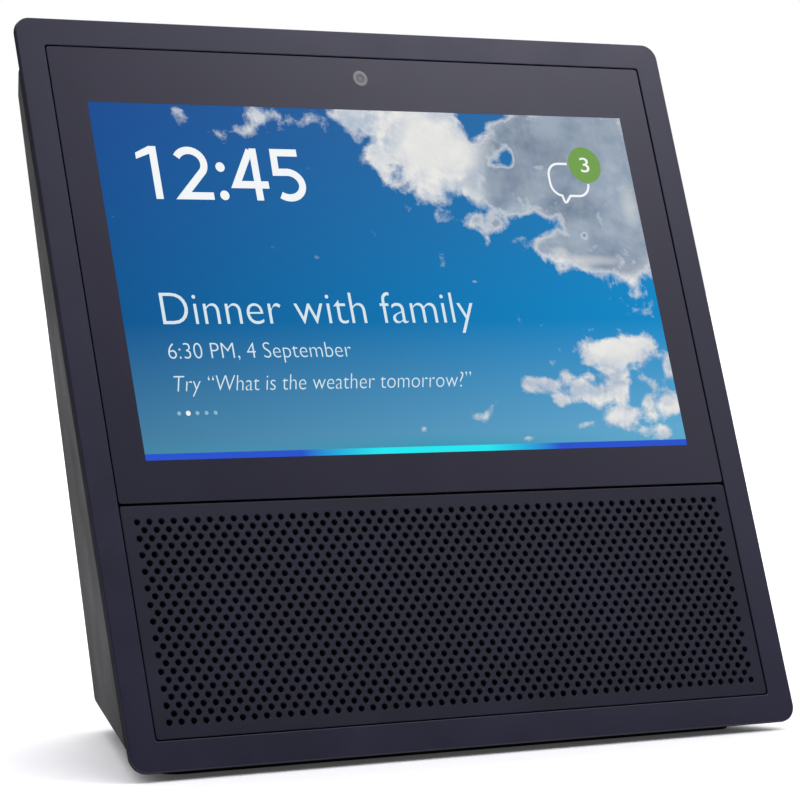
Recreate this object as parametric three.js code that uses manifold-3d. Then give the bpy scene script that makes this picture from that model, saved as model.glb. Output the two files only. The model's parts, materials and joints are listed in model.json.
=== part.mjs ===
// Tabletop smart display and speaker: a leaning square front plate with a screen above
// a perforated grille, in front of a tapering shell that holds two small loudspeakers.
//
// Millimetres, +Z up. The origin is the middle of the footprint, on the surface it stands on.
// Two frames are used:
//   the room frame: x to the right, y to the back, z up;
//   the front frame: x to the right, y into the body from the front plate's face, and
//   z up the slope from the plate's lower edge. It is the room frame leaned back.

import * as THREE from 'three';
import { ConvexGeometry } from 'three/addons/geometries/ConvexGeometry.js';
import { mergeVertices } from 'three/addons/utils/BufferGeometryUtils.js';
import Module from 'manifold-3d';

const wasm = await Module();
wasm.setup();

// ---- driving dimensions -------------------------------------------------------------------

const LEAN = THREE.MathUtils.degToRad(20);
const FRONT_EDGE_Y = -45.3;
const PLATE_LIFT = 2.3;

const PLATE_W = 187.3;
const PLATE_H = 185.8;
const PLATE_T = 5.2;
const PLATE_R = 4.2;
const RIM_T = 1.4;
const SKIRT_INSET = 2.2;
const SKIRT_R = 7;
const BORDER = 7.15;
const SEAT_DEPTH = 1.8;
const GAP = 0.3;
const SPLIT_Z = 63.2;

const PANEL_T = 1.3;
const LEDGE = 3.0;

const CAMERA_Z = 172.9;
const CAMERA_R = 2.2;

const LCD_W = 161.4;
const LCD_LOW = 69.7;
const LCD_HIGH = 168.3;

const DRIVER_X = 46;
const DRIVER_Z = 36;
const DRIVER_FLANGE_R = 24;
const CONE_R = 17.3;
const COIL_R = 6.3;

const WALL = 2.2;
const COVER_FRONT = 5.5;
const COVER_TOP = 177;
const COVER_SIDE = 92.65;
const SIDE_TAPER = 0.4085;
const BACK_LEAN = THREE.MathUtils.degToRad(3.8);
const BACK_DISTANCE = 90.98;
const UNDERSIDE_Z = 5.5;

const BUTTON_R = 4.2;
const BUTTON_Y = 11.8;
const BUTTON_X = { mute: -24, volume_down: 0, volume_up: 24 };

const BASE_FRONT_Y = 8.7;
const BASE_BACK_Y = 84;
const BASE_FRONT_HALF = 84.3;
const BASE_BACK_HALF = 56;

const PORT_HALF = 17;
const PORT_LOW = 13;
const PORT_HIGH = 28;
const PORT_FLOOR_Y = 82;
const JACK_X = -7;
const USB_X = 8;
const PORT_Z = 20.5;

const BASE_SCREWS = [[-62, 52], [62, 52], [-48, 78], [48, 78]];
const FRAME_SCREWS = [[-85.2, 72], [85.2, 72], [-85.2, 166], [85.2, 166]];
const BOARD_POSTS = [[-55, 81], [55, 81], [-55, 147], [55, 147]];

// ---- finishes -----------------------------------------------------------------------------

function finish(color, roughness, metalness = 0) {
  return new THREE.MeshStandardMaterial({ color, roughness, metalness });
}

const blackPlastic = () => finish(0x17171b, 0.5);
const platePlastic = () => finish(0x2c2b35, 0.42);
const coverGlass = () => finish(0x16161c, 0.08);
const screenGlass = () => finish(0x3f7fb4, 0.25);
const cameraGlass = () => finish(0x5a5a62, 0.1);
const grillePlastic = () => finish(0x222229, 0.5);
const clothBlack = () => finish(0x0c0c0e, 0.95);
const steelPressed = () => finish(0x9a9ca0, 0.35, 1);
const steelScrew = () => finish(0x55575c, 0.4, 1);
const magnetFerrite = () => finish(0x2b2b2e, 0.7, 0.3);
const rubberBlack = () => finish(0x0e0e10, 0.9);
const paperCone = () => finish(0x1c1c1e, 0.85);
const copperWire = () => finish(0xb5713c, 0.35, 1);
const boardGreen = () => finish(0x1e5a35, 0.5);
const aluminium = () => finish(0xb9bcc0, 0.35, 1);
const innerPlastic = () => finish(0x2a2a2c, 0.6);
const flexAmber = () => finish(0xa46a1c, 0.45);
const wireRed = () => finish(0x8c1f1f, 0.5);

// ---- solids -------------------------------------------------------------------------------

function toSolid(geometry) {
  const bare = geometry.clone();
  bare.deleteAttribute('normal');
  bare.deleteAttribute('uv');
  const merged = mergeVertices(bare, 1e-4);
  return new wasm.Manifold(new wasm.Mesh({
    numProp: 3,
    vertProperties: new Float32Array(merged.attributes.position.array),
    triVerts: new Uint32Array(merged.index.array),
  }));
}

function fromSolid(solid) {
  const mesh = solid.getMesh();
  const geometry = new THREE.BufferGeometry();
  geometry.setAttribute('position', new THREE.BufferAttribute(mesh.vertProperties, 3));
  geometry.setIndex(new THREE.BufferAttribute(mesh.triVerts, 1));
  geometry.computeVertexNormals();
  return geometry;
}

function cut(geometry, tools) {
  let solid = toSolid(geometry);
  for (const tool of tools) {
    solid = solid.subtract(toSolid(tool));
  }
  return fromSolid(solid);
}

function join(geometries) {
  let solid = toSolid(geometries[0]);
  for (const other of geometries.slice(1)) {
    solid = solid.add(toSolid(other));
  }
  return fromSolid(solid);
}

function common(a, b) {
  return fromSolid(toSolid(a).intersect(toSolid(b)));
}

function box(x0, x1, y0, y1, z0, z1) {
  const geometry = new THREE.BoxGeometry(x1 - x0, y1 - y0, z1 - z0);
  return geometry.translate((x0 + x1) / 2, (y0 + y1) / 2, (z0 + z1) / 2);
}

// A round bar along y, from y0 to y1, at (x, z).
function barY(r, y0, y1, x, z, sides = 20) {
  return new THREE.CylinderGeometry(r, r, y1 - y0, sides).translate(x, (y0 + y1) / 2, z);
}

// A round bar along z, from z0 to z1, at (x, y).
function barZ(r, z0, z1, x, y, sides = 20) {
  const bar = new THREE.CylinderGeometry(r, r, z1 - z0, sides).rotateX(Math.PI / 2);
  return bar.translate(x, y, (z0 + z1) / 2);
}

function roundedOutline(x0, x1, z0, z1, r) {
  const outline = new THREE.Shape();
  outline.moveTo(x0 + r, z0);
  outline.lineTo(x1 - r, z0);
  outline.absarc(x1 - r, z0 + r, r, -Math.PI / 2, 0);
  outline.lineTo(x1, z1 - r);
  outline.absarc(x1 - r, z1 - r, r, 0, Math.PI / 2);
  outline.lineTo(x0 + r, z1);
  outline.absarc(x0 + r, z1 - r, r, Math.PI / 2, Math.PI);
  outline.lineTo(x0, z0 + r);
  outline.absarc(x0 + r, z0 + r, r, Math.PI, Math.PI * 1.5);
  return outline;
}

// An outline in (x, z), carried along y from y0 to y1, with chamfered rims if asked.
function slabY(outline, y0, y1, chamfer = 0) {
  const geometry = new THREE.ExtrudeGeometry(outline, {
    depth: y1 - y0 - 2 * chamfer,
    curveSegments: 4,
    bevelEnabled: chamfer > 0,
    bevelSize: chamfer,
    bevelOffset: -chamfer,
    bevelThickness: chamfer,
    bevelSegments: 2,
  });
  return geometry.translate(0, 0, chamfer - y1).rotateX(Math.PI / 2);
}

// A side view in (y, z), carried along x from x0 to x1.
function slabX(points, x0, x1) {
  const outline = new THREE.Shape(points.map(([y, z]) => new THREE.Vector2(y, z)));
  const geometry = new THREE.ExtrudeGeometry(outline, { depth: x1 - x0, bevelEnabled: false });
  return geometry.rotateY(Math.PI / 2).rotateX(Math.PI / 2).translate(x0, 0, 0);
}

// A closed profile of [radius, y] points, turned about the y axis and moved to (x, z).
function turnedY(points, x, z, sides = 20) {
  const profile = points.map(([r, y]) => new THREE.Vector2(r, y));
  profile.push(profile[0].clone());
  return new THREE.LatheGeometry(profile, sides).translate(x, 0, z);
}

// A geometry given in the room frame, with y counted from the plate's lower front edge.
function inFrontFrame(geometry) {
  return geometry.translate(0, 0, -PLATE_LIFT).rotateX(LEAN);
}

const front = new THREE.Group();
front.position.set(0, FRONT_EDGE_Y, PLATE_LIFT);
front.rotation.x = -LEAN;

const room = new THREE.Group();
room.position.set(0, FRONT_EDGE_Y, 0);

function piece(frame, name, geometry, material) {
  const mesh = new THREE.Mesh(geometry, material);
  mesh.name = name;
  frame.add(mesh);
}

// ---- front plate and screen ---------------------------------------------------------------

const SEAT_HALF = PLATE_W / 2 - BORDER;
const SEAT_LOW = BORDER;
const SEAT_HIGH = PLATE_H - BORDER + 0.15;

// The plate is thin at its rim. Behind the rim a skirt stands back from the edge, as wide
// as the shell's front.
function frontBezel() {
  const half = PLATE_W / 2;
  const rim = slabY(roundedOutline(-half, half, 0, PLATE_H, PLATE_R), 0, RIM_T, 0.3);
  const skirtHalf = half - SKIRT_INSET;
  const skirt = slabY(
    roundedOutline(-skirtHalf, skirtHalf, SKIRT_INSET, PLATE_H - SKIRT_INSET, SKIRT_R),
    RIM_T - 0.4, PLATE_T,
  );
  const plate = join([rim, skirt]);
  const inner = SEAT_HALF - LEDGE;
  const holes = FRAME_SCREWS.map(([x, z]) => barY(1.3, 2.4, 9, x, z, 12));
  return cut(plate, [
    box(-SEAT_HALF, SEAT_HALF, -1, SEAT_DEPTH, SEAT_LOW, SEAT_HIGH),
    box(-inner, inner, -1, 9, SPLIT_Z + LEDGE, SEAT_HIGH - LEDGE),
    box(-inner, inner, -1, 9, SEAT_LOW + LEDGE, SPLIT_Z - LEDGE),
    ...holes,
  ]);
}

function panel(low, high) {
  const half = SEAT_HALF - GAP;
  return slabY(roundedOutline(-half, half, low, high, 0.8), 0.1, 0.1 + PANEL_T);
}

function coverGlassSheet() {
  const sheet = panel(SPLIT_Z + GAP, SEAT_HIGH - GAP);
  return cut(sheet, [barY(CAMERA_R + GAP, -1, 3, 0, CAMERA_Z)]);
}

function cameraBarrel() {
  const barrel = join([
    barY(2.6, 1.7, 4.0, 0, CAMERA_Z),
    box(-2.6, 2.6, 3.0, 4.0, CAMERA_Z - 2.6, CAMERA_Z + 2.4),
  ]);
  return cut(barrel, [barY(1.3, 1, 2.6, 0, CAMERA_Z, 16)]);
}

function displayTray() {
  const edge = 0.3;
  const rim = 0.9;
  const half = LCD_W / 2 + edge;
  const low = LCD_LOW - edge;
  const high = LCD_HIGH + edge;
  const block = box(-half - rim, half + rim, 1.7, PLATE_T, low - rim, high + rim);
  return cut(block, [box(-half, half, 0, 4.3, low, high)]);
}

function midFrame() {
  const sheet = slabY(roundedOutline(-88, 88, 66, 171, 3), 5.6, 7.0);
  const posts = BOARD_POSTS.map(([x, z]) => barY(2.6, 6.5, 9.2, x, z, 12));
  const screwHoles = FRAME_SCREWS.map(([x, z]) => barY(1.3, 5, 8, x, z, 12));
  const windows = [-1, 1].map((side) => box(side * 58 - 14, side * 58 + 14, 5, 8, 92, 136));
  const flexSlot = box(-13, 13, 5, 8, 107, 124);
  return cut(join([sheet, ...posts]), [...screwHoles, ...windows, flexSlot]);
}

piece(front, 'front_bezel', frontBezel(), platePlastic());
piece(front, 'cover_glass', coverGlassSheet(), coverGlass());
piece(front, 'camera_window', barY(CAMERA_R, 0.1, 1.3, 0, CAMERA_Z), cameraGlass());
piece(front, 'camera_barrel', cameraBarrel(), blackPlastic());
piece(front, 'camera_board', box(-4.5, 12, 4.3, 5.3, 170.0, 175.4), boardGreen());
piece(front, 'light_sensor', box(8, 10.4, 1.7, 4.0, 171.8, 174.2), innerPlastic());
piece(front, 'lcd_panel', box(-LCD_W / 2, LCD_W / 2, 1.7, 4.0, LCD_LOW, LCD_HIGH), screenGlass());
piece(front, 'display_tray', displayTray(), steelPressed());
piece(front, 'mid_frame', midFrame(), innerPlastic());

// ---- grille and loudspeakers --------------------------------------------------------------

const INNER_LOW = (y) => 5.74 + y * Math.tan(LEAN);
const CHAMBER_HALF = 73.5;
const CHAMBER_FRONT = 7.9;
const CHAMBER_BACK = 40;
const CHAMBER_TOP = 64;

function speakerBaffle() {
  const sheet = slabY(roundedOutline(-84, 84, 9.2, 64.4, 2), 5.6, 7.6);
  return cut(sheet, [-1, 1].map((side) => barY(22.4, 5, 8, side * DRIVER_X, DRIVER_Z, 36)));
}

// The side view of the chamber, or of its hollow when shrunk by a wall.
function chamberSide(wall, frontY) {
  const floor = 0.6 + wall * 1.07;
  return [
    [frontY, INNER_LOW(frontY) + floor],
    [CHAMBER_BACK - wall, INNER_LOW(CHAMBER_BACK - wall) + floor],
    [CHAMBER_BACK - wall, CHAMBER_TOP - wall],
    [frontY, CHAMBER_TOP - wall],
  ];
}

function speakerChamber() {
  const wall = 1.6;
  const block = slabX(chamberSide(0, CHAMBER_FRONT), -CHAMBER_HALF, CHAMBER_HALF);
  const side = chamberSide(wall, 0);
  return cut(block, [
    slabX(side, -CHAMBER_HALF + wall, -wall / 2),
    slabX(side, wall / 2, CHAMBER_HALF - wall),
  ]);
}

function driverFrame(x) {
  const basket = turnedY([
    [20.0, 7.9], [DRIVER_FLANGE_R, 7.9], [DRIVER_FLANGE_R, 9.4], [22.0, 9.4],
    [16.5, 20.0], [8.2, 20.0], [8.2, 18.6], [15.2, 18.6], [20.0, 9.6],
  ], x, DRIVER_Z);
  const windows = [0, 1].map((turn) => {
    const bar = box(-40, 40, 11.5, 16.5, -6, 6);
    return bar.rotateY(turn * Math.PI / 2).translate(x, 0, DRIVER_Z);
  });
  return cut(basket, windows);
}

function driverMagnet(x) {
  const pole = COIL_R - 1.0;
  const groove = COIL_R + 0.9;
  return turnedY([
    [0, 20.6], [pole, 20.6], [pole, 30], [groove, 30], [groove, 20.3], [14.5, 20.3],
    [14.5, 33], [0, 33],
  ], x, DRIVER_Z);
}

// A half-round rubber roll with a flat rim, which ends just outside the cone's edge.
function surround(x) {
  const rollR = 19.4;
  const seatY = 7.6;
  const sheet = 0.5;
  const steps = 4;
  const arc = (radius, from, to) => Array.from({ length: steps + 1 }, (_, i) => {
    const a = from + (to - from) * i / steps;
    return [rollR + radius * Math.cos(a), seatY - radius * Math.sin(a)];
  });
  return turnedY([
    ...arc(1.3, 0, Math.PI),
    ...arc(1.8, Math.PI, 0.25),
    [22.0, seatY - sheet], [22.0, seatY],
  ], x, DRIVER_Z);
}

function cone(x) {
  return turnedY([
    [CONE_R, 7.9], [CONE_R, 8.5], [7.4, 15.0], [COIL_R + GAP, 15.0],
    [COIL_R + GAP, 14.4], [16.6, 7.9],
  ], x, DRIVER_Z);
}

function dustCap(x) {
  const rim = 8.0;
  const rise = 2.5;
  const sheet = 0.5;
  const rimY = 12.9;
  const steps = 3;
  const dome = (offset) => Array.from({ length: steps + 1 }, (_, i) => {
    const r = rim * i / steps;
    return [r, rimY - rise * (1 - (r / rim) ** 2) + offset];
  });
  return turnedY([...dome(0), ...dome(sheet).reverse()], x, DRIVER_Z);
}

function voiceCoil(x) {
  const inner = COIL_R - 0.4;
  return turnedY([[inner, 13.2], [COIL_R, 13.2], [COIL_R, 26], [inner, 26]], x, DRIVER_Z);
}

function speakerWire(side) {
  const route = new THREE.CatmullRomCurve3([
    new THREE.Vector3(side * 30, 20, 64.6),
    new THREE.Vector3(side * 30, 20, 69),
    new THREE.Vector3(side * 27, 16, 74),
    new THREE.Vector3(side * 25, 12.4, 79),
    new THREE.Vector3(side * 25, 12.4, 84),
  ]);
  const section = new THREE.Shape();
  section.absarc(0, 0, 0.7, 0, Math.PI * 2);
  return new THREE.ExtrudeGeometry(section, { steps: 10, curveSegments: 4, extrudePath: route });
}

piece(front, 'speaker_grille', panel(SEAT_LOW + GAP, SPLIT_Z - GAP), grillePlastic());
piece(front, 'grille_cloth', box(-83.1, 83.1, 1.7, 2.1, 10.5, 59.8), clothBlack());
piece(front, 'speaker_baffle', speakerBaffle(), innerPlastic());
piece(front, 'speaker_chamber', speakerChamber(), innerPlastic());
for (const [label, side] of [['left', -1], ['right', 1]]) {
  const x = side * DRIVER_X;
  piece(front, `${label}_driver_frame`, driverFrame(x), steelPressed());
  piece(front, `${label}_driver_magnet`, driverMagnet(x), magnetFerrite());
  piece(front, `${label}_surround`, surround(x), rubberBlack());
  piece(front, `${label}_cone`, cone(x), paperCone());
  piece(front, `${label}_dust_cap`, dustCap(x), paperCone());
  piece(front, `${label}_voice_coil`, voiceCoil(x), copperWire());
  piece(front, `${label}_speaker_wire`, speakerWire(side), wireRed());
}

// ---- rear shell ---------------------------------------------------------------------------

// The planes of the shell's outside in the front frame, as an outward normal and a distance.
const plane = (x, y, z, d) => {
  const normal = new THREE.Vector3(x, y, z);
  return { normal: normal.clone().normalize(), d: d / normal.length() };
};
const sidePlane = (side) => plane(side, SIDE_TAPER, 0, COVER_SIDE + SIDE_TAPER * 3);
const topPlane = plane(0, 0, 1, COVER_TOP);
const frontPlane = plane(0, -1, 0, 5);
const underPlane = plane(0, Math.sin(LEAN), -Math.cos(LEAN), -UNDERSIDE_Z + PLATE_LIFT);
const backTilt = LEAN + BACK_LEAN;
const backPlane = plane(0, Math.cos(backTilt), Math.sin(backTilt), BACK_DISTANCE);

// The point that lies a distance inside three planes.
function insideCorner(a, b, c, inset) {
  const bc = b.normal.clone().cross(c.normal);
  const ca = c.normal.clone().cross(a.normal);
  const ab = a.normal.clone().cross(b.normal);
  const point = bc.multiplyScalar(a.d - inset);
  point.addScaledVector(ca, b.d - inset);
  point.addScaledVector(ab, c.d - inset);
  return point.divideScalar(a.normal.dot(b.normal.clone().cross(c.normal)));
}

// The shell's outside as the tightest skin over eight balls, one in each corner.
// A shrink gives the inside of its wall.
function shellBody(shrink) {
  const points = [];
  for (const side of [sidePlane(-1), sidePlane(1)]) {
    const corners = [
      [frontPlane, underPlane, 3], [frontPlane, topPlane, 3],
      [backPlane, topPlane, 6], [backPlane, underPlane, 8],
    ];
    for (const [one, two, radius] of corners) {
      const centre = insideCorner(side, one, two, radius);
      const ball = new THREE.SphereGeometry(radius - shrink, 16, 10);
      const places = ball.attributes.position;
      for (let i = 0; i < places.count; i += 1) {
        points.push(new THREE.Vector3().fromBufferAttribute(places, i).add(centre));
      }
    }
  }
  return new ConvexGeometry(points);
}

function rearCover() {
  const outside = cut(shellBody(0), [box(-120, 120, -20, COVER_FRONT, -30, 220)]);
  const shell = cut(outside, [shellBody(WALL)]);
  const portBlock = inFrontFrame(box(
    -PORT_HALF - 2, PORT_HALF + 2, PORT_FLOOR_Y - 2, 100, PORT_LOW - 2, PORT_HIGH + 2));
  const bosses = BASE_SCREWS.map(([x, y]) => inFrontFrame(barZ(3.4, UNDERSIDE_Z + 1, 14, x, y, 16)));
  const buttonHoles = Object.values(BUTTON_X).map((x) => barZ(BUTTON_R + GAP, 170, 190, x, BUTTON_Y, 24));
  const micHoles = [-60, -48, -36, -12, 12, 36, 48, 60].map((x) => barZ(0.6, 170, 190, x, BUTTON_Y, 8));
  const screwHoles = BASE_SCREWS.map(([x, y]) => inFrontFrame(barZ(1.6, 0, 12, x, y, 12)));
  const recess = inFrontFrame(box(-PORT_HALF, PORT_HALF, PORT_FLOOR_Y, 100, PORT_LOW, PORT_HIGH));
  const jackHole = inFrontFrame(barY(4.3, 70, 90, JACK_X, PORT_Z, 16));
  const usbHole = inFrontFrame(box(USB_X - 4.1, USB_X + 4.1, 70, 90, PORT_Z - 1.7, PORT_Z + 1.7));
  const whole = join([shell, common(portBlock, outside), ...bosses]);
  return cut(whole, [...buttonHoles, ...micHoles, ...screwHoles, recess, jackHole, usbHole]);
}

function powerJack() {
  const body = join([
    box(JACK_X - 5.5, JACK_X + 5.5, 69.9, PORT_FLOOR_Y - 2.3, PORT_Z - 5.5, PORT_Z + 5.5),
    barY(4.0, 75, PORT_FLOOR_Y - 0.1, JACK_X, PORT_Z, 20),
  ]);
  const hollow = cut(body, [barY(2.75, 73, 90, JACK_X, PORT_Z, 20)]);
  return join([hollow, barY(0.9, 72, PORT_FLOOR_Y - 1, JACK_X, PORT_Z, 12)]);
}

function usbSocket() {
  const body = join([
    box(USB_X - 4.0, USB_X + 4.0, 73, PORT_FLOOR_Y - 2.3, PORT_Z - 2.2, PORT_Z + 2.2),
    box(USB_X - 3.8, USB_X + 3.8, 75, PORT_FLOOR_Y - 0.1, PORT_Z - 1.4, PORT_Z + 1.4),
  ]);
  const hollow = cut(body, [box(USB_X - 3.4, USB_X + 3.4, 76, 90, PORT_Z - 1.0, PORT_Z + 1.0)]);
  return join([hollow, box(USB_X - 2.6, USB_X + 2.6, 75.5, PORT_FLOOR_Y - 1, PORT_Z - 0.3, PORT_Z + 0.3)]);
}

// The outline of the base in (x, y): wide at the front, narrow at the back, round corners.
function baseOutline(inset) {
  const low = BASE_FRONT_Y + inset;
  const high = BASE_BACK_Y - inset;
  const corners = [
    [-BASE_FRONT_HALF + inset, low], [BASE_FRONT_HALF - inset, low],
    [BASE_BACK_HALF - inset, high], [-BASE_BACK_HALF + inset, high],
  ].map(([x, y]) => new THREE.Vector2(x, y));
  const outline = new THREE.Shape();
  corners.forEach((corner, i) => {
    const before = corners[(i + 3) % 4].clone().sub(corner).setLength(6).add(corner);
    const after = corners[(i + 1) % 4].clone().sub(corner).setLength(6).add(corner);
    if (i === 0) {
      outline.moveTo(before.x, before.y);
    } else {
      outline.lineTo(before.x, before.y);
    }
    outline.quadraticCurveTo(corner.x, corner.y, after.x, after.y);
  });
  return outline;
}

function baseSheet(inset, z0, z1) {
  const settings = { depth: z1 - z0, curveSegments: 6, bevelEnabled: false };
  return new THREE.ExtrudeGeometry(baseOutline(inset), settings).translate(0, 0, z0);
}

function basePlate() {
  const holes = BASE_SCREWS.map(([x, y]) => barZ(1.6, 0, 9, x, y, 12));
  const sinks = BASE_SCREWS.map(([x, y]) => barZ(3.1, 0, 3.7, x, y, 16));
  return cut(baseSheet(0.9, 2.3, UNDERSIDE_Z - GAP), [...holes, ...sinks]);
}

function baseScrew(x, y) {
  const screw = join([barZ(2.7, 2.4, 3.4, x, y, 14), barZ(1.2, 3, 11, x, y, 10)]);
  return cut(screw, [box(x - 1.5, x + 1.5, y - 0.3, y + 0.3, 2, 2.9)]);
}

function frameScrew(x, z) {
  const screw = join([barY(2.0, 7.3, 8.4, x, z, 14), barY(1.0, 3, 8, x, z, 10)]);
  return cut(screw, [box(x - 1.2, x + 1.2, 7.9, 9, z - 0.25, z + 0.25)]);
}

piece(front, 'rear_cover', rearCover(), blackPlastic());
piece(room, 'base_plate', basePlate(), blackPlastic());
piece(room, 'rubber_foot', baseSheet(0, 0, 2.0), rubberBlack());
piece(room, 'power_jack', powerJack(), blackPlastic());
piece(room, 'usb_socket', usbSocket(), steelPressed());
piece(room, 'port_board', box(-15, 15, 68, 69.6, PORT_LOW, PORT_HIGH), boardGreen());
BASE_SCREWS.forEach(([x, y], i) => piece(room, `base_screw_${i + 1}`, baseScrew(x, y), steelScrew()));
FRAME_SCREWS.forEach(([x, z], i) => piece(front, `frame_screw_${i + 1}`, frameScrew(x, z), steelScrew()));

// ---- buttons ------------------------------------------------------------------------------

function buttonCap(x) {
  return join([
    barZ(BUTTON_R, 173.5, COVER_TOP + 1, x, BUTTON_Y, 24),
    barZ(BUTTON_R + 1.2, 173.2, 174.4, x, BUTTON_Y, 24),
    barZ(1.2, 172.6, 173.6, x, BUTTON_Y, 12),
  ]);
}

function tactSwitch(x) {
  return join([
    box(x - 2.3, x + 2.3, BUTTON_Y - 2.3, BUTTON_Y + 2.3, 170.5, 171.3),
    barZ(1.3, 171, 171.9, x, BUTTON_Y, 12),
  ]);
}

for (const [label, x] of Object.entries(BUTTON_X)) {
  piece(front, `${label}_button`, buttonCap(x), blackPlastic());
  piece(front, `${label}_switch`, tactSwitch(x), steelPressed());
}
piece(front, 'button_board', box(-66, 66, 8.2, 17.2, 169.0, 170.2), boardGreen());

// ---- electronics --------------------------------------------------------------------------

function mainBoard() {
  const sheet = slabY(roundedOutline(-60, 60, 76, 152, 2), 9.5, 11.1);
  return cut(sheet, BOARD_POSTS.map(([x, z]) => barY(1.6, 9, 12, x, z, 12)));
}

function heatSink() {
  const count = 9;
  const fins = Array.from({ length: count }, (_, i) => {
    const x = -24 + i * (38.6 / (count - 1));
    return box(x, x + 1.4, 15, 21, 96, 134);
  });
  return join([box(-24, 16, 14.8, 16.2, 96, 134), ...fins]);
}

function shieldCan() {
  const can = slabY(roundedOutline(-20, 12, 100, 130, 1.5), 11.4, 13.6);
  return cut(can, [box(-19.4, 11.4, 11, 13.1, 100.6, 129.4)]);
}

// A thin strip whose side view is a list of (y, z) points.
function flexStrip(points, half) {
  return slabX(points, -half, half);
}

piece(front, 'main_board', mainBoard(), boardGreen());
piece(front, 'processor_shield', shieldCan(), steelPressed());
piece(front, 'thermal_pad', box(-16, 8, 13.9, 14.5, 103, 127), rubberBlack());
piece(front, 'heat_sink', heatSink(), aluminium());
piece(front, 'wifi_module', slabY(roundedOutline(30, 48, 118, 132, 1), 11.4, 13.2), steelPressed());
piece(front, 'left_antenna', box(-86, -73, 7.3, 7.7, 100, 140), copperWire());
piece(front, 'right_antenna', box(73, 86, 7.3, 7.7, 100, 140), copperWire());
piece(front, 'display_flex', flexStrip([
  [5.5, 121], [5.5, 112.1], [9.2, 108.9], [9.2, 109.3], [5.8, 112.3], [5.8, 121],
], 8), flexAmber());
piece(front, 'camera_flex', flexStrip([
  [5.6, 174.6], [5.6, 171.3], [7.3, 171.3], [7.3, 155], [7.6, 155], [7.6, 171.6],
  [5.9, 171.6], [5.9, 174.6],
], 3), flexAmber());

const speaker = new THREE.Group();
speaker.name = 'smart_display_speaker';
speaker.add(front, room);

export default speaker;
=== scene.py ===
# %% [markdown]
# A tabletop smart display
#
# The object is a square plate that leans back on a tapering shell. The upper part of the
# plate is a touch screen under glass, and the lower part is a perforated panel with two
# small loudspeakers behind it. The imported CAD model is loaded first, as a fixed frame:
# every place below is measured from it, and every visible piece is then made again as a
# fine surface that sits where its CAD piece says.

# %% Load the frame
import json
import math

import bmesh
import bpy
import numpy as np
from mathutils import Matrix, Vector


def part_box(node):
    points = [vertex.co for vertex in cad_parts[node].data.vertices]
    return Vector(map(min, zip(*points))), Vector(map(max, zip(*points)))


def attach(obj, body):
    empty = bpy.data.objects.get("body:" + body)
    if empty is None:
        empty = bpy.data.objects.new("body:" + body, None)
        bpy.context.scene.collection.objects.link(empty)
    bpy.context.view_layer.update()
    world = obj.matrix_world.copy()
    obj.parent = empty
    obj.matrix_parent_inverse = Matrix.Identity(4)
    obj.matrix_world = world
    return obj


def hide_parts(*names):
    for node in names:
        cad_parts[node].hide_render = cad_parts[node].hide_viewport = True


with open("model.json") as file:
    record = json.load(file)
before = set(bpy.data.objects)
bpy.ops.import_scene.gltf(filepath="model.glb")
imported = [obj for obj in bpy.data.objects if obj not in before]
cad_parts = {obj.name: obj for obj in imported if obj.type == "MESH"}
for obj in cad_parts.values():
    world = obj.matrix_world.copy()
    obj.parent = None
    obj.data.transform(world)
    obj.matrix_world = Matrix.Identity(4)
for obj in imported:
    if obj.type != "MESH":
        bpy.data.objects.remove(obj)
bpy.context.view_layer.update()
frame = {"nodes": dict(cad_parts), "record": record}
MM = 0.001

# %% [markdown]
# The plate leans, so almost everything is easier to draw in a frame that leans with it:
# x to the right, y into the body from the plate's face, and z up the slope. The lean is
# read from the CAD cover glass: its largest triangle faces the viewer, and the angle of
# that triangle's normal is the lean. The origin is the plate's lower front edge.

# %% The leaning frame
glass_mesh = frame["nodes"]["cover_glass"].data
areas = np.empty(len(glass_mesh.polygons))
glass_mesh.polygons.foreach_get("area", areas)
facing = np.empty(len(glass_mesh.polygons) * 3)
glass_mesh.polygons.foreach_get("normal", facing)
facing = facing.reshape(-1, 3)[np.argmax(areas)]
LEAN = math.atan2(abs(facing[2]), abs(facing[1]))

RIGHT = np.array([1.0, 0.0, 0.0])
INTO = np.array([0.0, math.cos(LEAN), -math.sin(LEAN)])
UP = np.array([0.0, math.sin(LEAN), math.cos(LEAN)])


def node_points(node):
    """The corner points of a CAD node, as one array in metres."""
    mesh = frame["nodes"][node].data
    points = np.empty(len(mesh.vertices) * 3)
    mesh.vertices.foreach_get("co", points)
    return points.reshape(-1, 3)


plate_points = node_points("front_bezel")
ORIGIN = INTO * (plate_points @ INTO).min() + UP * (plate_points @ UP).min()


def leaned_box(node):
    """The lowest and highest corner of a CAD node along the leaning axes, in millimetres."""
    seen = (node_points(node) - ORIGIN) @ np.stack([RIGHT, INTO, UP]).T / MM
    return seen.min(0), seen.max(0)


def leaned(points):
    """Points in the leaning frame, in millimetres, as places in the room, in metres."""
    return ORIGIN + np.asarray(points) * MM @ np.stack([RIGHT, INTO, UP])


def standing(points):
    """Points in an upright frame, in millimetres, as places in the room, in metres."""
    return np.asarray(points) * MM


print(f"lean {math.degrees(LEAN):.2f} degrees, plate edge at", ORIGIN.round(5))

# %% [markdown]
# A mesh in Blender is three flat lists: where the points are, which points each face
# uses, and where each face starts. Filling those lists from whole arrays is quick, so
# one helper takes arrays of faces, each array holding faces with the same number of
# corners, and hands back a finished piece that rides on its body.

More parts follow.
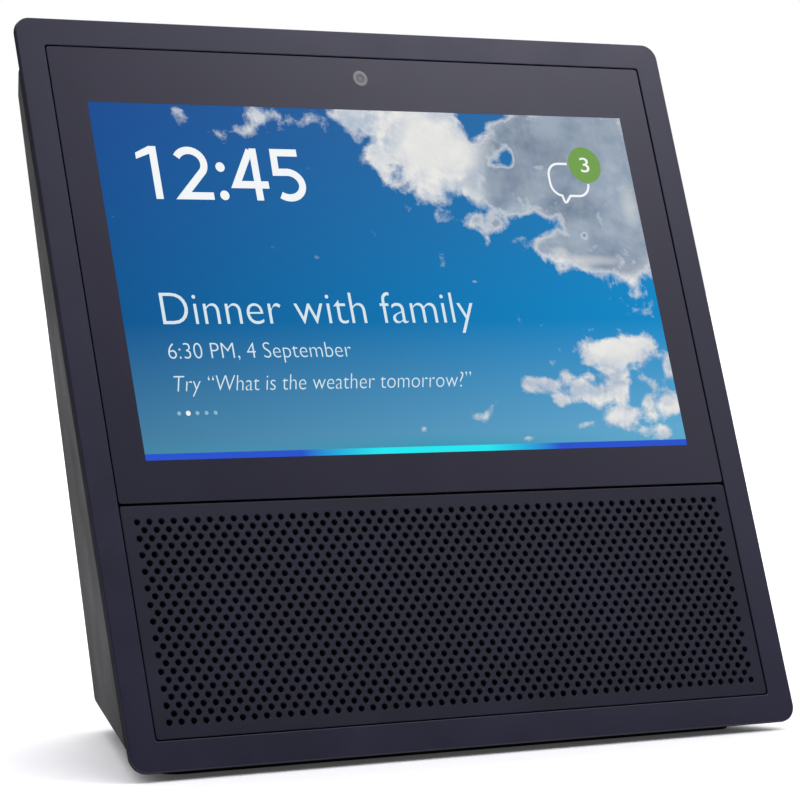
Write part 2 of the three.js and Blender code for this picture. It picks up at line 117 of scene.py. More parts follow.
# %% From arrays to a piece
def mesh_of(name, points, faces):
    """A mesh from an array of places and a list of face arrays, each n faces by k corners."""
    corners = np.concatenate([f.ravel() for f in faces]).astype(np.int32)
    sides = np.concatenate([np.full(len(f), f.shape[1]) for f in faces])
    starts = np.concatenate([[0], np.cumsum(sides)[:-1]]).astype(np.int32)
    mesh = bpy.data.meshes.new(name)
    mesh.vertices.add(len(points))
    mesh.vertices.foreach_set("co", np.asarray(points, np.float32).ravel())
    mesh.loops.add(len(corners))
    mesh.loops.foreach_set("vertex_index", corners)
    mesh.polygons.add(len(starts))
    mesh.polygons.foreach_set("loop_start", starts)
    mesh.update(calc_edges=True)
    return mesh


def face_out(mesh):
    """Merges points that coincide, then turns the closed surface's faces outwards."""
    bm = bmesh.new()
    bm.from_mesh(mesh)
    bmesh.ops.remove_doubles(bm, verts=bm.verts, dist=1e-7)
    bmesh.ops.recalc_face_normals(bm, faces=bm.faces)
    bm.to_mesh(mesh)
    bm.free()


def worked(mesh, kind, **settings):
    """The mesh that one modifier makes of a mesh, made on a holder that is then thrown away."""
    holder = bpy.data.objects.new("holder", mesh)
    bpy.context.scene.collection.objects.link(holder)
    modifier = holder.modifiers.new("work", kind)
    for setting, value in settings.items():
        setattr(modifier, setting, value)
    graph = bpy.context.evaluated_depsgraph_get()
    made = bpy.data.meshes.new_from_object(
        holder.evaluated_get(graph), preserve_all_data_layers=True, depsgraph=graph)
    made.name = mesh.name
    bpy.data.objects.remove(holder)
    return made


def piece(name, mesh, finish, body="housing", stands_for=(), slot=None, crease=35):
    """Puts a mesh in the scene: smooth but for creases, with its finish, on its body."""
    face_out(mesh)
    mesh.shade_smooth()
    mesh.set_sharp_from_angle(angle=math.radians(crease))
    mesh = worked(mesh, "WEIGHTED_NORMAL", keep_sharp=True)
    made = bpy.data.objects.new(name, mesh)
    bpy.context.scene.collection.objects.link(made)
    made.data.materials.append(finish)
    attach(made, body)
    if stands_for:
        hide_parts(*stands_for)
    print(f"{name}: {len(mesh.vertices)} points, {len(mesh.polygons)} faces")
    return made


def leaning_piece(name, shape, finish, **more):
    """A piece from a (points, faces) shape that is drawn in the leaning frame."""
    points, faces = shape
    return piece(name, mesh_of(name, leaned(points), faces), finish, **more)


def joined(*parts):
    """Several (points, faces) shapes as one."""
    points = []
    faces = []
    count = 0
    for part_points, part_faces in parts:
        faces += [f + count for f in part_faces]
        points.append(part_points)
        count += len(part_points)
    return np.concatenate(points), faces


# %% [markdown]
# Most of the moulded pieces are outlines carried through a list of depths: a plate is an
# outline that grows and shrinks a little at its edges. So two helpers do most of the
# work. One draws an outline with round corners at any inset. The other lays faces
# between one closed outline and the next.

# %% Outlines and the skins between them
def inset_corners(corners, inset):
    """The corners of a convex outline after every side has moved inwards by inset.

    Each side is a line with normal n and distance d. Two neighbours meet where
    n1 . p = d1 - inset and n2 . p = d2 - inset, which is a 2 by 2 system per corner.
    """
    corners = np.asarray(corners, float)
    along = np.roll(corners, -1, axis=0) - corners
    normal = np.stack([along[:, 1], -along[:, 0]], 1)
    normal /= np.linalg.norm(normal, axis=1)[:, None]
    reach = (normal * corners).sum(1) - inset
    before = np.roll(normal, 1, axis=0)
    system = np.stack([before, normal], 1)
    sides = np.stack([np.roll(reach, 1), reach], 1)[:, :, None]
    return np.linalg.solve(system, sides)[:, :, 0], before, normal


def outline(corners, radius, inset=0.0, steps=8, least=0.05):
    """A convex outline, drawn anticlockwise, with every corner an arc.

    The arc's centre is the corner of the same outline drawn one radius further in, and
    its angle runs from the normal of the side before to the normal of the side after.
    """
    radius = max(radius - inset, least)
    centres, before, after = inset_corners(corners, inset + radius)
    start = np.arctan2(before[:, 1], before[:, 0])
    turn = (np.arctan2(after[:, 1], after[:, 0]) - start) % (2 * math.pi)
    angle = start[:, None] + turn[:, None] * np.linspace(0, 1, steps)[None, :]
    arc = np.stack([np.cos(angle), np.sin(angle)], 2) * radius
    return (centres[:, None, :] + arc).reshape(-1, 2)


def oblong(half, low, high):
    """The four corners of an upright rectangle, centred across."""
    return [(-half, low), (half, low), (half, high), (-half, high)]


def skin(loops, closed_through=False, capped=True):
    """Faces between outlines of equal length, each a row of the given array.

    Row i, point j meets row i + 1, point j + 1. A skin that is closed through runs from
    the last outline back to the first, like a ring; otherwise its two ends are capped.
    """
    loops = np.asarray(loops, float)
    rows, count = loops.shape[:2]
    index = np.arange(rows * count).reshape(rows, count)
    if closed_through:
        index = np.concatenate([index, index[:1]])
    beside = np.roll(index, -1, axis=1)
    quads = np.stack([index[:-1], beside[:-1], beside[1:], index[1:]], 2).reshape(-1, 4)
    faces = [quads]
    if capped and not closed_through:
        faces += [index[:1, ::-1], index[-1:]]
    return loops.reshape(-1, 3), faces


def at_depth(points, depth):
    """A flat outline in (x, z), laid at one depth y."""
    return np.stack([points[:, 0], np.full(len(points), depth), points[:, 1]], 1)


def at_height(points, height):
    """A flat outline in (x, y), laid at one height z."""
    return np.stack([points[:, 0], points[:, 1], np.full(len(points), height)], 1)


def rounded_rim(radius, near, far, steps=5):
    """(inset, depth) pairs over a slab's side with both rims rounded, from near to far."""
    a = np.linspace(0, math.pi / 2, steps)
    first = np.stack([radius * (1 - np.sin(a)), near + radius * (1 - np.cos(a))], 1)
    last = np.stack([first[::-1, 0], far - (first[::-1, 1] - near)], 1)
    return np.concatenate([first, last])


def slab(corners, radius, near, far, rim, lay=at_depth, steps=8):
    """A plate with round corners and round rims, between two depths or heights."""
    rims = rounded_rim(rim, near, far)
    return skin([lay(outline(corners, radius, inset, steps), depth) for inset, depth in rims])


def turned(profile, sides=48):
    """A profile of (radius, height) points turned about z, from axis to axis."""
    profile = np.asarray(profile, float)
    angle = np.arange(sides) * 2 * math.pi / sides
    ring = np.stack([np.cos(angle), np.sin(angle)], 1)
    inner = profile[1:-1]
    loops = np.concatenate([
        inner[:, None, :1] * ring[None], np.broadcast_to(inner[:, None, 1:], (len(inner), sides, 1)),
    ], 2)
    points, (quads, *_) = skin(loops, capped=False)
    tips = np.array([[0, 0, profile[0, 1]], [0, 0, profile[-1, 1]]])
    first = np.arange(sides)
    last = first + (len(inner) - 1) * sides
    tip = np.full(sides, len(points))
    fans = np.concatenate([
        np.stack([tip, np.roll(first, -1), first], 1),
        np.stack([tip + 1, last, np.roll(last, -1)], 1),
    ])
    return np.concatenate([points, tips]), [quads, fans]


# %% [markdown]
# Every finish is a small tree of nodes on one Principled shader. A moulded or cast
# surface is never quite even, so each finish has a fine grain that sets three things:
# a little of the colour, a little of the roughness, and the height that the light
# catches. The grain is read from object coordinates, so it stays in place when a piece
# moves. Values that are the same all over sit on the shader's own sockets.

# %% The node helpers
def tree_of(name):
    """A new material, with its nodes, its links and its shader."""
    made = bpy.data.materials.new(name)
    made.use_nodes = True
    nodes = made.node_tree.nodes
    links = made.node_tree.links
    shader = nodes["Principled BSDF"]
    return made, nodes, links, shader


def sRGB(red, green, blue):
    """A colour given on a 0 to 255 scale as it looks, as the linear colour a shader wants."""
    c = np.array([red, green, blue]) / 255
    linear = np.where(c <= 0.04045, c / 12.92, ((c + 0.055) / 1.055) ** 2.4)
    return (*linear, 1.0)


def place_node(nodes, links, stretch=(1, 1, 1)):
    """Object coordinates, stretched along each axis."""
    where = nodes.new("ShaderNodeTexCoord")
    mapping = nodes.new("ShaderNodeMapping")
    mapping.inputs["Scale"].default_value = stretch
    links.new(where.outputs["Object"], mapping.inputs["Vector"])
    return mapping.outputs["Vector"]


def noise_node(nodes, links, where, scale, detail=3.0, rough=0.5, warp=0.0):
    """A noise between 0 and 1, with its size given in marks per metre."""
    noise = nodes.new("ShaderNodeTexNoise")
    noise.inputs["Scale"].default_value = scale
    noise.inputs["Detail"].default_value = detail
    noise.inputs["Roughness"].default_value = rough
    noise.inputs["Distortion"].default_value = warp
    links.new(where, noise.inputs["Vector"])
    return noise.outputs["Fac"]


def ranged(nodes, links, value, low, high, to_low, to_high):
    """A value moved from one range to another and held inside it."""
    made = nodes.new("ShaderNodeMapRange")
    made.inputs["From Min"].default_value = low
    made.inputs["From Max"].default_value = high
    made.inputs["To Min"].default_value = to_low
    made.inputs["To Max"].default_value = to_high
    links.new(value, made.inputs["Value"])
    return made.outputs["Result"]


def sums(nodes, links, how, a, b):
    """One sum of two values: how is ADD, MULTIPLY, SUBTRACT, MAXIMUM or the like."""
    made = nodes.new("ShaderNodeMath")
    made.operation = how
    for socket, value in zip(made.inputs, (a, b)):
        if isinstance(value, (int, float)):
            socket.default_value = value
        else:
            links.new(value, socket)
    return made.outputs["Value"]


def blended(nodes, links, share, a, b):
    """Two colours mixed by a share from 0 to 1. A colour is a tuple or another node's output."""
    made = nodes.new("ShaderNodeMix")
    made.data_type = "RGBA"
    links.new(share, made.inputs["Factor"])
    for socket, value in ((made.inputs["A"], a), (made.inputs["B"], b)):
        if isinstance(value, tuple):
            socket.default_value = value
        else:
            links.new(value, socket)
    return made.outputs["Result"]


def raised(nodes, links, shader, height, strength, distance):
    """Lets the light see a height that the mesh doesn't have."""
    bump = nodes.new("ShaderNodeBump")
    bump.inputs["Strength"].default_value = strength
    bump.inputs["Distance"].default_value = distance
    links.new(height, bump.inputs["Height"])
    links.new(bump.outputs["Normal"], shader.inputs["Normal"])


def grained(name, colour, rough, metal=0.0, specular=0.5, size=1800, depth=0.00002,
            spread=0.12, stretch=(1, 1, 1), strength=0.5, coat=0.0, tint=(1, 1, 1)):
    """A moulded, cast or rolled finish.

    colour is what it looks like on a 0 to 255 scale, size is the number of grains per
    metre, depth is the grain's height in metres, and spread is how far the colour and
    the roughness wander. A stretch below 1 along an axis draws the grain out along it.
    """
    made, nodes, links, shader = tree_of(name)
    where = place_node(nodes, links, stretch)
    fine = noise_node(nodes, links, where, size, 2.0)
    broad = noise_node(nodes, links, where, size / 60, 3.0)
    both = sums(nodes, links, "MULTIPLY", sums(nodes, links, "ADD", fine, broad), 0.5)
    dark = tuple(c * (1 - spread) for c in colour)
    light = tuple(min(255, c * (1 + spread)) for c in colour)
    share = ranged(nodes, links, both, 0.35, 0.65, 0.0, 1.0)
    links.new(blended(nodes, links, share, sRGB(*dark), sRGB(*light)), shader.inputs["Base Color"])
    dull = ranged(nodes, links, both, 0.35, 0.65, rough * (1 - spread), rough * (1 + spread))
    links.new(dull, shader.inputs["Roughness"])
    shader.inputs["Metallic"].default_value = metal
    shader.inputs["Specular IOR Level"].default_value = specular
    shader.inputs["Specular Tint"].default_value = (*tint, 1.0)
    shader.inputs["Coat Weight"].default_value = coat
    shader.inputs["Coat Roughness"].default_value = 0.12
    raised(nodes, links, shader, fine, strength, depth)
    return made


# %% [markdown]
# The front plate is moulded in a dark blue-grey plastic with a satin, almost invisible
# spark texture. The shell behind it is a blacker, duller plastic that hides the light,
# so the plate seems to float. The panel that holds the screen is glass with a border
# printed behind it: it is smooth, and close in colour to the plate.

# %% Plastics, rubber and glass
PLATE_TINT = (0.84, 0.83, 1.0)
plate_satin = grained("plate_satin", (24, 23, 40), 0.34, specular=0.36, size=4200, depth=0.000012,
                      tint=PLATE_TINT)
grille_satin = grained("grille_satin", (23, 23, 36), 0.46, specular=0.26, size=4200, depth=0.000012,
                       tint=PLATE_TINT)
shell_matte = grained("shell_matte", (12, 12, 14), 0.64, specular=0.09, size=2600, depth=0.00003)
button_satin = grained("button_satin", (30, 30, 36), 0.42, specular=0.4, size=3200)
rubber_dull = grained("rubber_dull", (17, 17, 19), 0.85, specular=0.2, size=1500, depth=0.00004)
socket_gloss = grained("socket_gloss", (14, 14, 16), 0.3, specular=0.4, size=3000)
inner_moulded = grained("inner_moulded", (40, 40, 43), 0.55, specular=0.3, size=1600)
print("moulded finishes made")


def printed_glass():
    """Glass over a printed border: smooth, with faint wipe marks that only dull it."""
    made, nodes, links, shader = tree_of("printed_glass")
    where = place_node(nodes, links)
    wiped = noise_node(nodes, links, place_node(nodes, links, (1, 1, 0.25)), 60, 4.0, 0.6, 0.4)
    specks = noise_node(nodes, links, where, 5200, 1.0)
    share = ranged(nodes, links, wiped, 0.3, 0.7, 0.0, 1.0)
    tone = blended(nodes, links, share, sRGB(21, 20, 35), sRGB(24, 23, 38))
    links.new(tone, shader.inputs["Base Color"])
    links.new(ranged(nodes, links, wiped, 0.3, 0.7, 0.28, 0.31), shader.inputs["Roughness"])
    shader.inputs["Specular IOR Level"].default_value = 0.34
    shader.inputs["Specular Tint"].default_value = (*PLATE_TINT, 1.0)
    raised(nodes, links, shader, specks, 0.1, 0.000002)
    return made


glass_border = printed_glass()

# %% [markdown]
# The front plate looks like a thin sheet, because it is moulded in two shots. The face is
# blue-grey and ends in a small round rim. The core behind it is as black as the shell. It
# carries on the rim for a millimetre, then steps in to a skirt that is as wide as the
# shell's front, so from the side the plate seems to float. Each shot is a ring: a
# cross-section carried round the outline, closed both ways. A rib on the back of the
# core goes into the shell's mouth, so nothing inside shows through the seam.

# %% Front plate
plate_low, plate_high = leaned_box("front_bezel")
glass_low, glass_high = leaned_box("cover_glass")
grille_low, grille_high = leaned_box("speaker_grille")
PLATE_HALF = plate_high[0]
PLATE_TOP = plate_high[2]
PLATE_BACK = plate_high[1]
PLATE_CORNER = 4.2
PANEL_CORNER = 0.8
FACE_THICK = 0.4
EDGE_ROUND = 0.2
RIM_THICK = 1.4
RIM_ROUND = 0.3
SKIRT_INSET = 2.2
SKIRT_CORNER = 7.0
SKIRT_ROUND = 0.4
RIB_INSIDE = 1.6
RIB_LIFT = 1.8
RIB_THICK = 1.4
RIB_NEAR = PLATE_BACK - 0.2
RIB_FAR = PLATE_BACK + 0.7
GAP = 0.3
SEAT = 1.8
LEDGE = 3.0
BORDER = PLATE_HALF - glass_high[0] - GAP


def plate_loop(inset, depth):
    """The plate's outline at an inset, which reaches the panel opening at one border.

    The corner is the rim's, less the inset. On the skirt it is the skirt's own.
    """
    share = inset / BORDER
    low = share * (grille_low[2] - GAP)
    high = PLATE_TOP - share * (PLATE_TOP - glass_high[2] - GAP)
    corner = max(PLATE_CORNER - inset, PANEL_CORNER)
    if depth >= RIM_THICK and SKIRT_INSET <= inset < BORDER:
        corner = SKIRT_CORNER + SKIRT_INSET - inset
    return at_depth(outline(oblong(PLATE_HALF - inset, low, high), corner, steps=12), depth)


def quarter(centre_inset, centre_depth, radius, start, end, steps=6):
    """(inset, depth) pairs on an arc. Angle 0 points to a larger inset, 90 to the front."""
    a = np.radians(np.linspace(start, end, steps))
    return np.stack([centre_inset + radius * np.cos(a), centre_depth - radius * np.sin(a)], 1)


face_section = np.concatenate([
    quarter(FACE_THICK, FACE_THICK, FACE_THICK, 180, 90),
    quarter(BORDER - EDGE_ROUND, EDGE_ROUND, EDGE_ROUND, 90, 0, 4),
    [[BORDER, FACE_THICK]],
])
core_section = np.concatenate([
    [[0, FACE_THICK], [BORDER, FACE_THICK], [BORDER, SEAT], [BORDER + LEDGE, SEAT],
     [BORDER + LEDGE, PLATE_BACK]],
    quarter(SKIRT_INSET + SKIRT_ROUND, PLATE_BACK - SKIRT_ROUND, SKIRT_ROUND, 270, 180, 4),
    [[SKIRT_INSET, RIM_THICK]],
    quarter(RIM_ROUND, RIM_THICK - RIM_ROUND, RIM_ROUND, 270, 180, 4),
])
face_shape = skin([plate_loop(i, d) for i, d in face_section], closed_through=True)
leaning_piece("front_plate", face_shape, plate_satin, stands_for=["front_bezel"],
              slot="plate_plastic", crease=40)
ring = skin([plate_loop(i, d) for i, d in core_section], closed_through=True)
bar = slab(oblong(glass_high[0] - LEDGE + 0.4, grille_high[2] - LEDGE, glass_low[2] + LEDGE),
           0.2, SEAT, PLATE_BACK, 0.1)
cover_low, cover_high = leaned_box("rear_cover")
rib_corners = oblong(cover_high[0] - RIB_INSIDE, cover_low[2] + RIB_LIFT, cover_high[2] - RIB_INSIDE)
rib = skin([
    at_depth(outline(rib_corners, RIB_INSIDE, inset), depth)
    for inset, depth in ((0, RIB_NEAR), (0, RIB_FAR), (RIB_THICK, RIB_FAR), (RIB_THICK, RIB_NEAR))
], closed_through=True)
leaning_piece("plate_core", joined(ring, bar, rib), shell_matte, slot="plate_plastic", crease=40)

# %% [markdown]
# The cover glass is a sheet with a lit window in it. The screen is bonded to its back,
# so the picture seems to lie in the glass. The simplest way to show that is to make the
# border as a ring, from its outer edge to the edge of the lit window, and to fill the
# window with the picture, flush with the border.

# %% Cover glass
LIT_HALF = 77.5
LIT_LOW = 73.7
LIT_HIGH = 164.3
LIT_CORNER = 0.3
GLASS_ROUND = 0.15
lit_window = oblong(LIT_HALF, LIT_LOW, LIT_HIGH)
GLASS_FRONT = glass_low[1]
GLASS_BACK = glass_high[1]
glass_corners = oblong(glass_high[0], glass_low[2], glass_high[2])
glass_rims = rounded_rim(GLASS_ROUND, GLASS_FRONT, GLASS_BACK)
glass_loops = [at_depth(outline(glass_corners, PANEL_CORNER, i), d) for i, d in glass_rims]
glass_loops += [at_depth(outline(lit_window, LIT_CORNER), d) for d in (GLASS_BACK, GLASS_FRONT)]
glass_shape = skin(glass_loops, closed_through=True)
leaning_piece("cover_glass_border", glass_shape, glass_border, stands_for=["cover_glass"],
              slot="cover_glass", crease=30)

# %% [markdown]
# The picture is a generic sky: deep blue at the top left, paler and greener low down,
# with one large cloud at the top right, a heap of small ones at the lower right, and a
# few wisps. A light line runs along the bottom edge. Where the clouds are is a smooth
# field, worked out on the points of the picture's mesh: each cloud is a few soft
# ellipses. Their ragged edges and their shading are finer than the mesh, so the
# material adds them with noise.

# %% Where the clouds are
# Each puff is (x, height above the window's foot, half width, half height, density).
BRIGHT_CLOUD = [
    (5, 87, 11, 7, 0.9), (18, 84, 14, 14, 1.1), (3, 79, 6, 6, 0.85), (14.5, 72, 6, 6.5, 0.8),
    (28, 78, 8, 6, 0.85), (22, 74, 6, 5, 0.6), (-6, 89, 6, 3, 0.5), (2, 73, 2, 3, 0.5),
]
STORM_CLOUD = [
    (50, 85, 22, 12, 1.0), (68, 80, 20, 18, 1.1), (40, 73, 12, 9, 0.9), (37, 66, 7, 5, 0.75),
    (29, 71, 5, 4, 0.5), (58, 69, 16, 9, 1.0), (67, 59, 16, 9, 1.0), (53, 56, 8, 4, 0.9),
    (46, 53.5, 6, 2.6, 0.8), (64, 51, 10, 4, 0.9), (75, 62, 8, 13, 0.95), (70, 48.5, 6, 3, 0.55),
]
HEAP_CLOUD = [
    (61, 25.5, 9, 4.4, 1.0), (54, 25.5, 5, 3.4, 0.9), (69, 26.5, 5, 3.2, 0.9), (61, 21, 4, 3.6, 0.7),
    (60, 17, 4, 2.6, 0.85), (54, 14, 6, 2.6, 0.9), (48, 16, 3, 2.6, 0.85), (42.5, 13, 3.7, 2.6, 0.9),
    (39, 16.8, 3.4, 2.0, 0.9), (33, 17, 3.0, 2.0, 0.9), (44, 19.6, 2.2, 2.2, 0.9), (41, 22.5, 2, 2, 0.55),
    (58, 7.8, 5, 2.8, 1.0), (63, 8.6, 3, 2.0, 0.6), (68, 11.5, 3, 2.4, 0.85), (75, 11, 4, 3.4, 0.95),
    (70, 8, 4, 2, 0.6), (71.5, 3.6, 3, 2.0, 0.9), (64, 4.6, 4, 1.4, 0.45), (77, 21, 2.2, 4, 0.95),
]
WISPS = [
    (27, 61, 4, 2.2, 0.62), (33, 60.5, 3.6, 2.0, 0.62), (16, 61.5, 5, 2, 0.36), (28.5, 56, 1.5, 3, 0.3),
    (-54, 88, 3, 3.4, 0.5), (-31, 88.5, 8, 3.4, 0.62), (-36, 84, 4, 2, 0.42), (-17, 88, 5, 3, 0.42),
    (-43, 83, 2, 3, 0.4), (-26, 84.5, 3, 1.6, 0.34), (51, 19, 4, 1.2, 0.42), (67, 18, 2.5, 1.2, 0.42),
    (70.5, 16.5, 2, 1.6, 0.42), (61, 12.5, 2.4, 2.6, 0.5), (47, 6, 4, 1.3, 0.44), (15.8, 8.7, 3.8, 1.4, 0.6),
    (30, 3.0, 2.6, 1.1, 0.6), (-0.5, 5.8, 1.6, 1.3, 0.5), (22.5, 44.5, 1.8, 0.9, 0.42),
    (71, 41, 9, 6, 0.34),
]
GAPS = [
    (31, 88, 4, 4, 0.95), (37, 90.5, 5, 1.8, 0.85), (29.5, 83.5, 2, 2, 0.6), (39.5, 78, 2.0, 2.6, 0.95),
    (36, 77, 2, 1.2, 0.5), (44, 60.5, 6.5, 2.2, 0.85), (59, 57.5, 1.5, 1.2, 0.6), (-1, 82.5, 3, 2, 0.5),
]


def ellipses(x, z, shapes):
    """Soft ellipses, each density * exp(-(dx/a)^2 - (dz/b)^2), joined so that they merge.

    Where two overlap, what is left of the sky is the product of what each leaves.
    """
    sx, sz, a, b, density = np.array(shapes).T[:, :, None, None]
    covered = density * np.exp(-(((x - sx) / a) ** 2) - ((z - sz) / b) ** 2)
    return 1 - (1 - np.minimum(covered, 0.999)).prod(0)


across = np.linspace(-LIT_HALF, LIT_HALF, 207)
rise = np.linspace(0, LIT_HIGH - LIT_LOW, 121)
sky_x, sky_z = np.meshgrid(across, rise)
all_clouds = BRIGHT_CLOUD + STORM_CLOUD + HEAP_CLOUD + WISPS
cover = ellipses(sky_x, sky_z, all_clouds) - ellipses(sky_x, sky_z, GAPS)
# The storm cloud is grey. The bright cloud's middle, the heaps and the storm's lit edges glow.
greyness = ellipses(sky_x, sky_z, STORM_CLOUD + [(30, 61, 8, 4, 0.9)])
glow = ellipses(sky_x, sky_z, [
    (15, 82, 9, 11, 1.0), (24, 80, 7, 5, 0.8), (61, 26, 9, 4, 0.9), (57, 8.4, 4, 2, 0.8),
    (60, 50.5, 11, 1.8, 0.5), (50, 53, 3.5, 1.6, 0.5), (75, 66, 3.5, 9, 0.45),
])
CLOUD_EDGE = 0.46
print(f"clouds cover {100 * (cover > CLOUD_EDGE).mean():.0f}% of the picture")

# %% [markdown]
# The sky's own colour is a mix of four corner colours. The noise is the same stuff that
# clouds are drawn with everywhere: octaves of smooth noise, each half as large. Added
# to the smooth field and cut at a threshold, it gives a torn edge. The same noise read
# a little higher and to the left, and taken away, is bright where the cloud rises
# towards the light and dark where it falls from it.

# %% The picture's light
SKY_CORNERS = {
    "low left": sRGB(74, 132, 164), "low right": sRGB(104, 172, 208),
    "middle left": sRGB(18, 88, 146), "middle right": sRGB(14, 136, 198),
    "high left": sRGB(30, 78, 146), "high right": sRGB(44, 114, 172),
}
TEAR = (20.0, 9.0, 0.64)
LINE_MIDDLE = 0.51


def picture_light():
    """The lit picture: sky, clouds and light line, as light rather than paint."""
    made, nodes, links, shader = tree_of("picture_light")
    fields = {}
    for field in ("cloud_cover", "cloud_grey", "cloud_glow", "picture_place"):
        fields[field] = nodes.new("ShaderNodeAttribute")
        fields[field].attribute_name = field
    spot = fields["picture_place"].outputs["Vector"]
    split = nodes.new("ShaderNodeSeparateXYZ")
    links.new(spot, split.inputs["Vector"])
    x = split.outputs["X"]
    z = ranged(nodes, links, split.outputs["Y"], 0.0, (LIT_HIGH - LIT_LOW) / (2 * LIT_HALF), 0.0, 1.0)

    def clouds(shift_x, shift_z, scale, detail, rough=0.62, warp=0.25):
        """Smooth noise over the picture, read at a place shifted across and up."""
        shift = nodes.new("ShaderNodeVectorMath")
        shift.operation = "ADD"
        shift.inputs[1].default_value = (shift_x, shift_z, 0)
        links.new(spot, shift.inputs[0])
        return noise_node(nodes, links, shift.outputs["Vector"], scale, detail, rough, warp)

    def times(a, b):
        return sums(nodes, links, "MULTIPLY", a, b)

    def less(a, b):
        return sums(nodes, links, "SUBTRACT", a, b)

    torn = clouds(0, 0, *TEAR)
    lifted = clouds(-0.005, 0.01, *TEAR)
    billow = less(clouds(5.2, 2.2, 9.0, 5.0, 0.5), clouds(5.19, 2.215, 9.0, 5.0, 0.5))
    soft = clouds(3.1, 1.7, 7.0, 5.0, 0.55, 0.6)

    low = blended(nodes, links, x, SKY_CORNERS["low left"], SKY_CORNERS["low right"])
    high = blended(nodes, links, x, SKY_CORNERS["high left"], SKY_CORNERS["high right"])
    middle = blended(nodes, links, x, SKY_CORNERS["middle left"], SKY_CORNERS["middle right"])
    lower_half = ranged(nodes, links, z, 0.0, 0.38, 0.0, 1.0)
    upper_half = ranged(nodes, links, z, 0.42, 1.0, 0.0, 1.0)
    sky = blended(nodes, links, upper_half, blended(nodes, links, lower_half, low, middle), high)

    amount = sums(nodes, links, "ADD", fields["cloud_cover"].outputs["Fac"], times(less(torn, 0.5), 1.7))
    mask = ranged(nodes, links, amount, CLOUD_EDGE - 0.16, CLOUD_EDGE + 0.16, 0.0, 1.0)
    lit = ranged(nodes, links, less(torn, lifted), -0.1, 0.1, 0.0, 1.0)
    heaped = ranged(nodes, links, billow, -0.05, 0.05, 0.0, 1.0)
    shade = sums(nodes, links, "ADD", times(lit, 0.45), times(heaped, 0.55))
    white = blended(nodes, links, shade, sRGB(168, 184, 204), sRGB(232, 231, 228))
    uneven = ranged(nodes, links, soft, 0.36, 0.64, 0.0, 1.0)
    grey = blended(nodes, links, uneven, sRGB(104, 122, 146), sRGB(152, 168, 186))
    lining = ranged(nodes, links, amount, 0.6, 0.8, 0.8, 0.0)
    bright = sums(nodes, links, "MAXIMUM", lining, times(shade, 0.2))
    grey = blended(nodes, links, bright, grey, sRGB(204, 210, 216))
    storm = ranged(nodes, links, fields["cloud_grey"].outputs["Fac"], 0.35, 0.8, 0.0, 0.95)
    cloud = blended(nodes, links, storm, white, grey)
    glow = ranged(nodes, links, fields["cloud_glow"].outputs["Fac"], 0.2, 0.8, 0.0, 0.85)
    cloud = blended(nodes, links, glow, cloud, sRGB(232, 231, 227))
    picture = blended(nodes, links, mask, sky, cloud)

    off_middle = nodes.new("ShaderNodeMath")
    off_middle.operation = "ABSOLUTE"
    links.new(less(x, LINE_MIDDLE), off_middle.inputs[0])
    off_middle = off_middle.outputs["Value"]
    line_mix = ranged(nodes, links, off_middle, 0.1, 0.24, 0.0, 1.0)
    line = blended(nodes, links, line_mix, sRGB(40, 230, 240), sRGB(44, 84, 206))
    near_line = ranged(nodes, links, z, 0.0, 0.055, 1.0, 0.0)
    haze = times(near_line, ranged(nodes, links, off_middle, 0.0, 0.34, 0.9, 0.25))
    picture = blended(nodes, links, haze, picture, sRGB(30, 148, 172))
    on_line = ranged(nodes, links, z, 0.0165, 0.0185, 1.0, 0.0)
    picture = blended(nodes, links, on_line, picture, line)

    links.new(picture, shader.inputs["Emission Color"])
    shader.inputs["Emission Strength"].default_value = 1.0
    shader.inputs["Base Color"].default_value = (0.0, 0.0, 0.0, 1.0)
    shader.inputs["Specular IOR Level"].default_value = 0.02
    links.new(ranged(nodes, links, soft, 0.3, 0.7, 0.22, 0.28), shader.inputs["Roughness"])
    return made


def sheet_with_front(xs, zs, front, back):
    """A block whose front is a grid of points, with plain sides and a plain back."""
    gx, gz = np.meshgrid(xs, zs)
    rows, cols = gx.shape
    grid = np.stack([gx, np.full(gx.shape, front), gz], 2).reshape(-1, 3)
    index = np.arange(rows * cols).reshape(rows, cols)
    quads = np.stack([index[:-1, :-1], index[:-1, 1:], index[1:, 1:], index[1:, :-1]], 2)
    edge = np.concatenate([index[0, :-1], index[:-1, -1], index[-1, :0:-1], index[:0:-1, 0]])
    behind = grid[edge] * [1, 0, 1] + [0, back, 0]
    far = np.arange(len(edge)) + len(grid)
    sides = np.stack([np.roll(edge, -1), edge, far, np.roll(far, -1)], 1)
    return np.concatenate([grid, behind]), [quads.reshape(-1, 4), sides, far[None]]


# The picture is a few hundredths of a millimetre smaller than its window, to clear it.
picture_points, picture_faces = sheet_with_front(
    across * (1 - 0.03 / LIT_HALF), rise * 0.9995 + LIT_LOW + 0.02, GLASS_FRONT, GLASS_BACK + 0.3)
picture_mesh = mesh_of("picture", leaned(picture_points), picture_faces)
extra = len(picture_points) - cover.size
for label, field in (("cloud_cover", cover), ("cloud_grey", greyness), ("cloud_glow", glow)):
    values = picture_mesh.attributes.new(label, "FLOAT", "POINT")
    values.data.foreach_set("value", np.concatenate([field.ravel(), np.zeros(extra)]).astype(np.float32))
place = picture_mesh.attributes.new("picture_place", "FLOAT_VECTOR", "POINT")
spot = np.stack([
    (picture_points[:, 0] + LIT_HALF) / (2 * LIT_HALF),
    (picture_points[:, 2] - LIT_LOW) / (2 * LIT_HALF),
    np.zeros(len(picture_points)),
], 1)
place.data.foreach_set("vector", spot.astype(np.float32).ravel())
piece("screen_picture", picture_mesh, picture_light(), stands_for=["lcd_panel"],
      slot="screen_glass", crease=30)

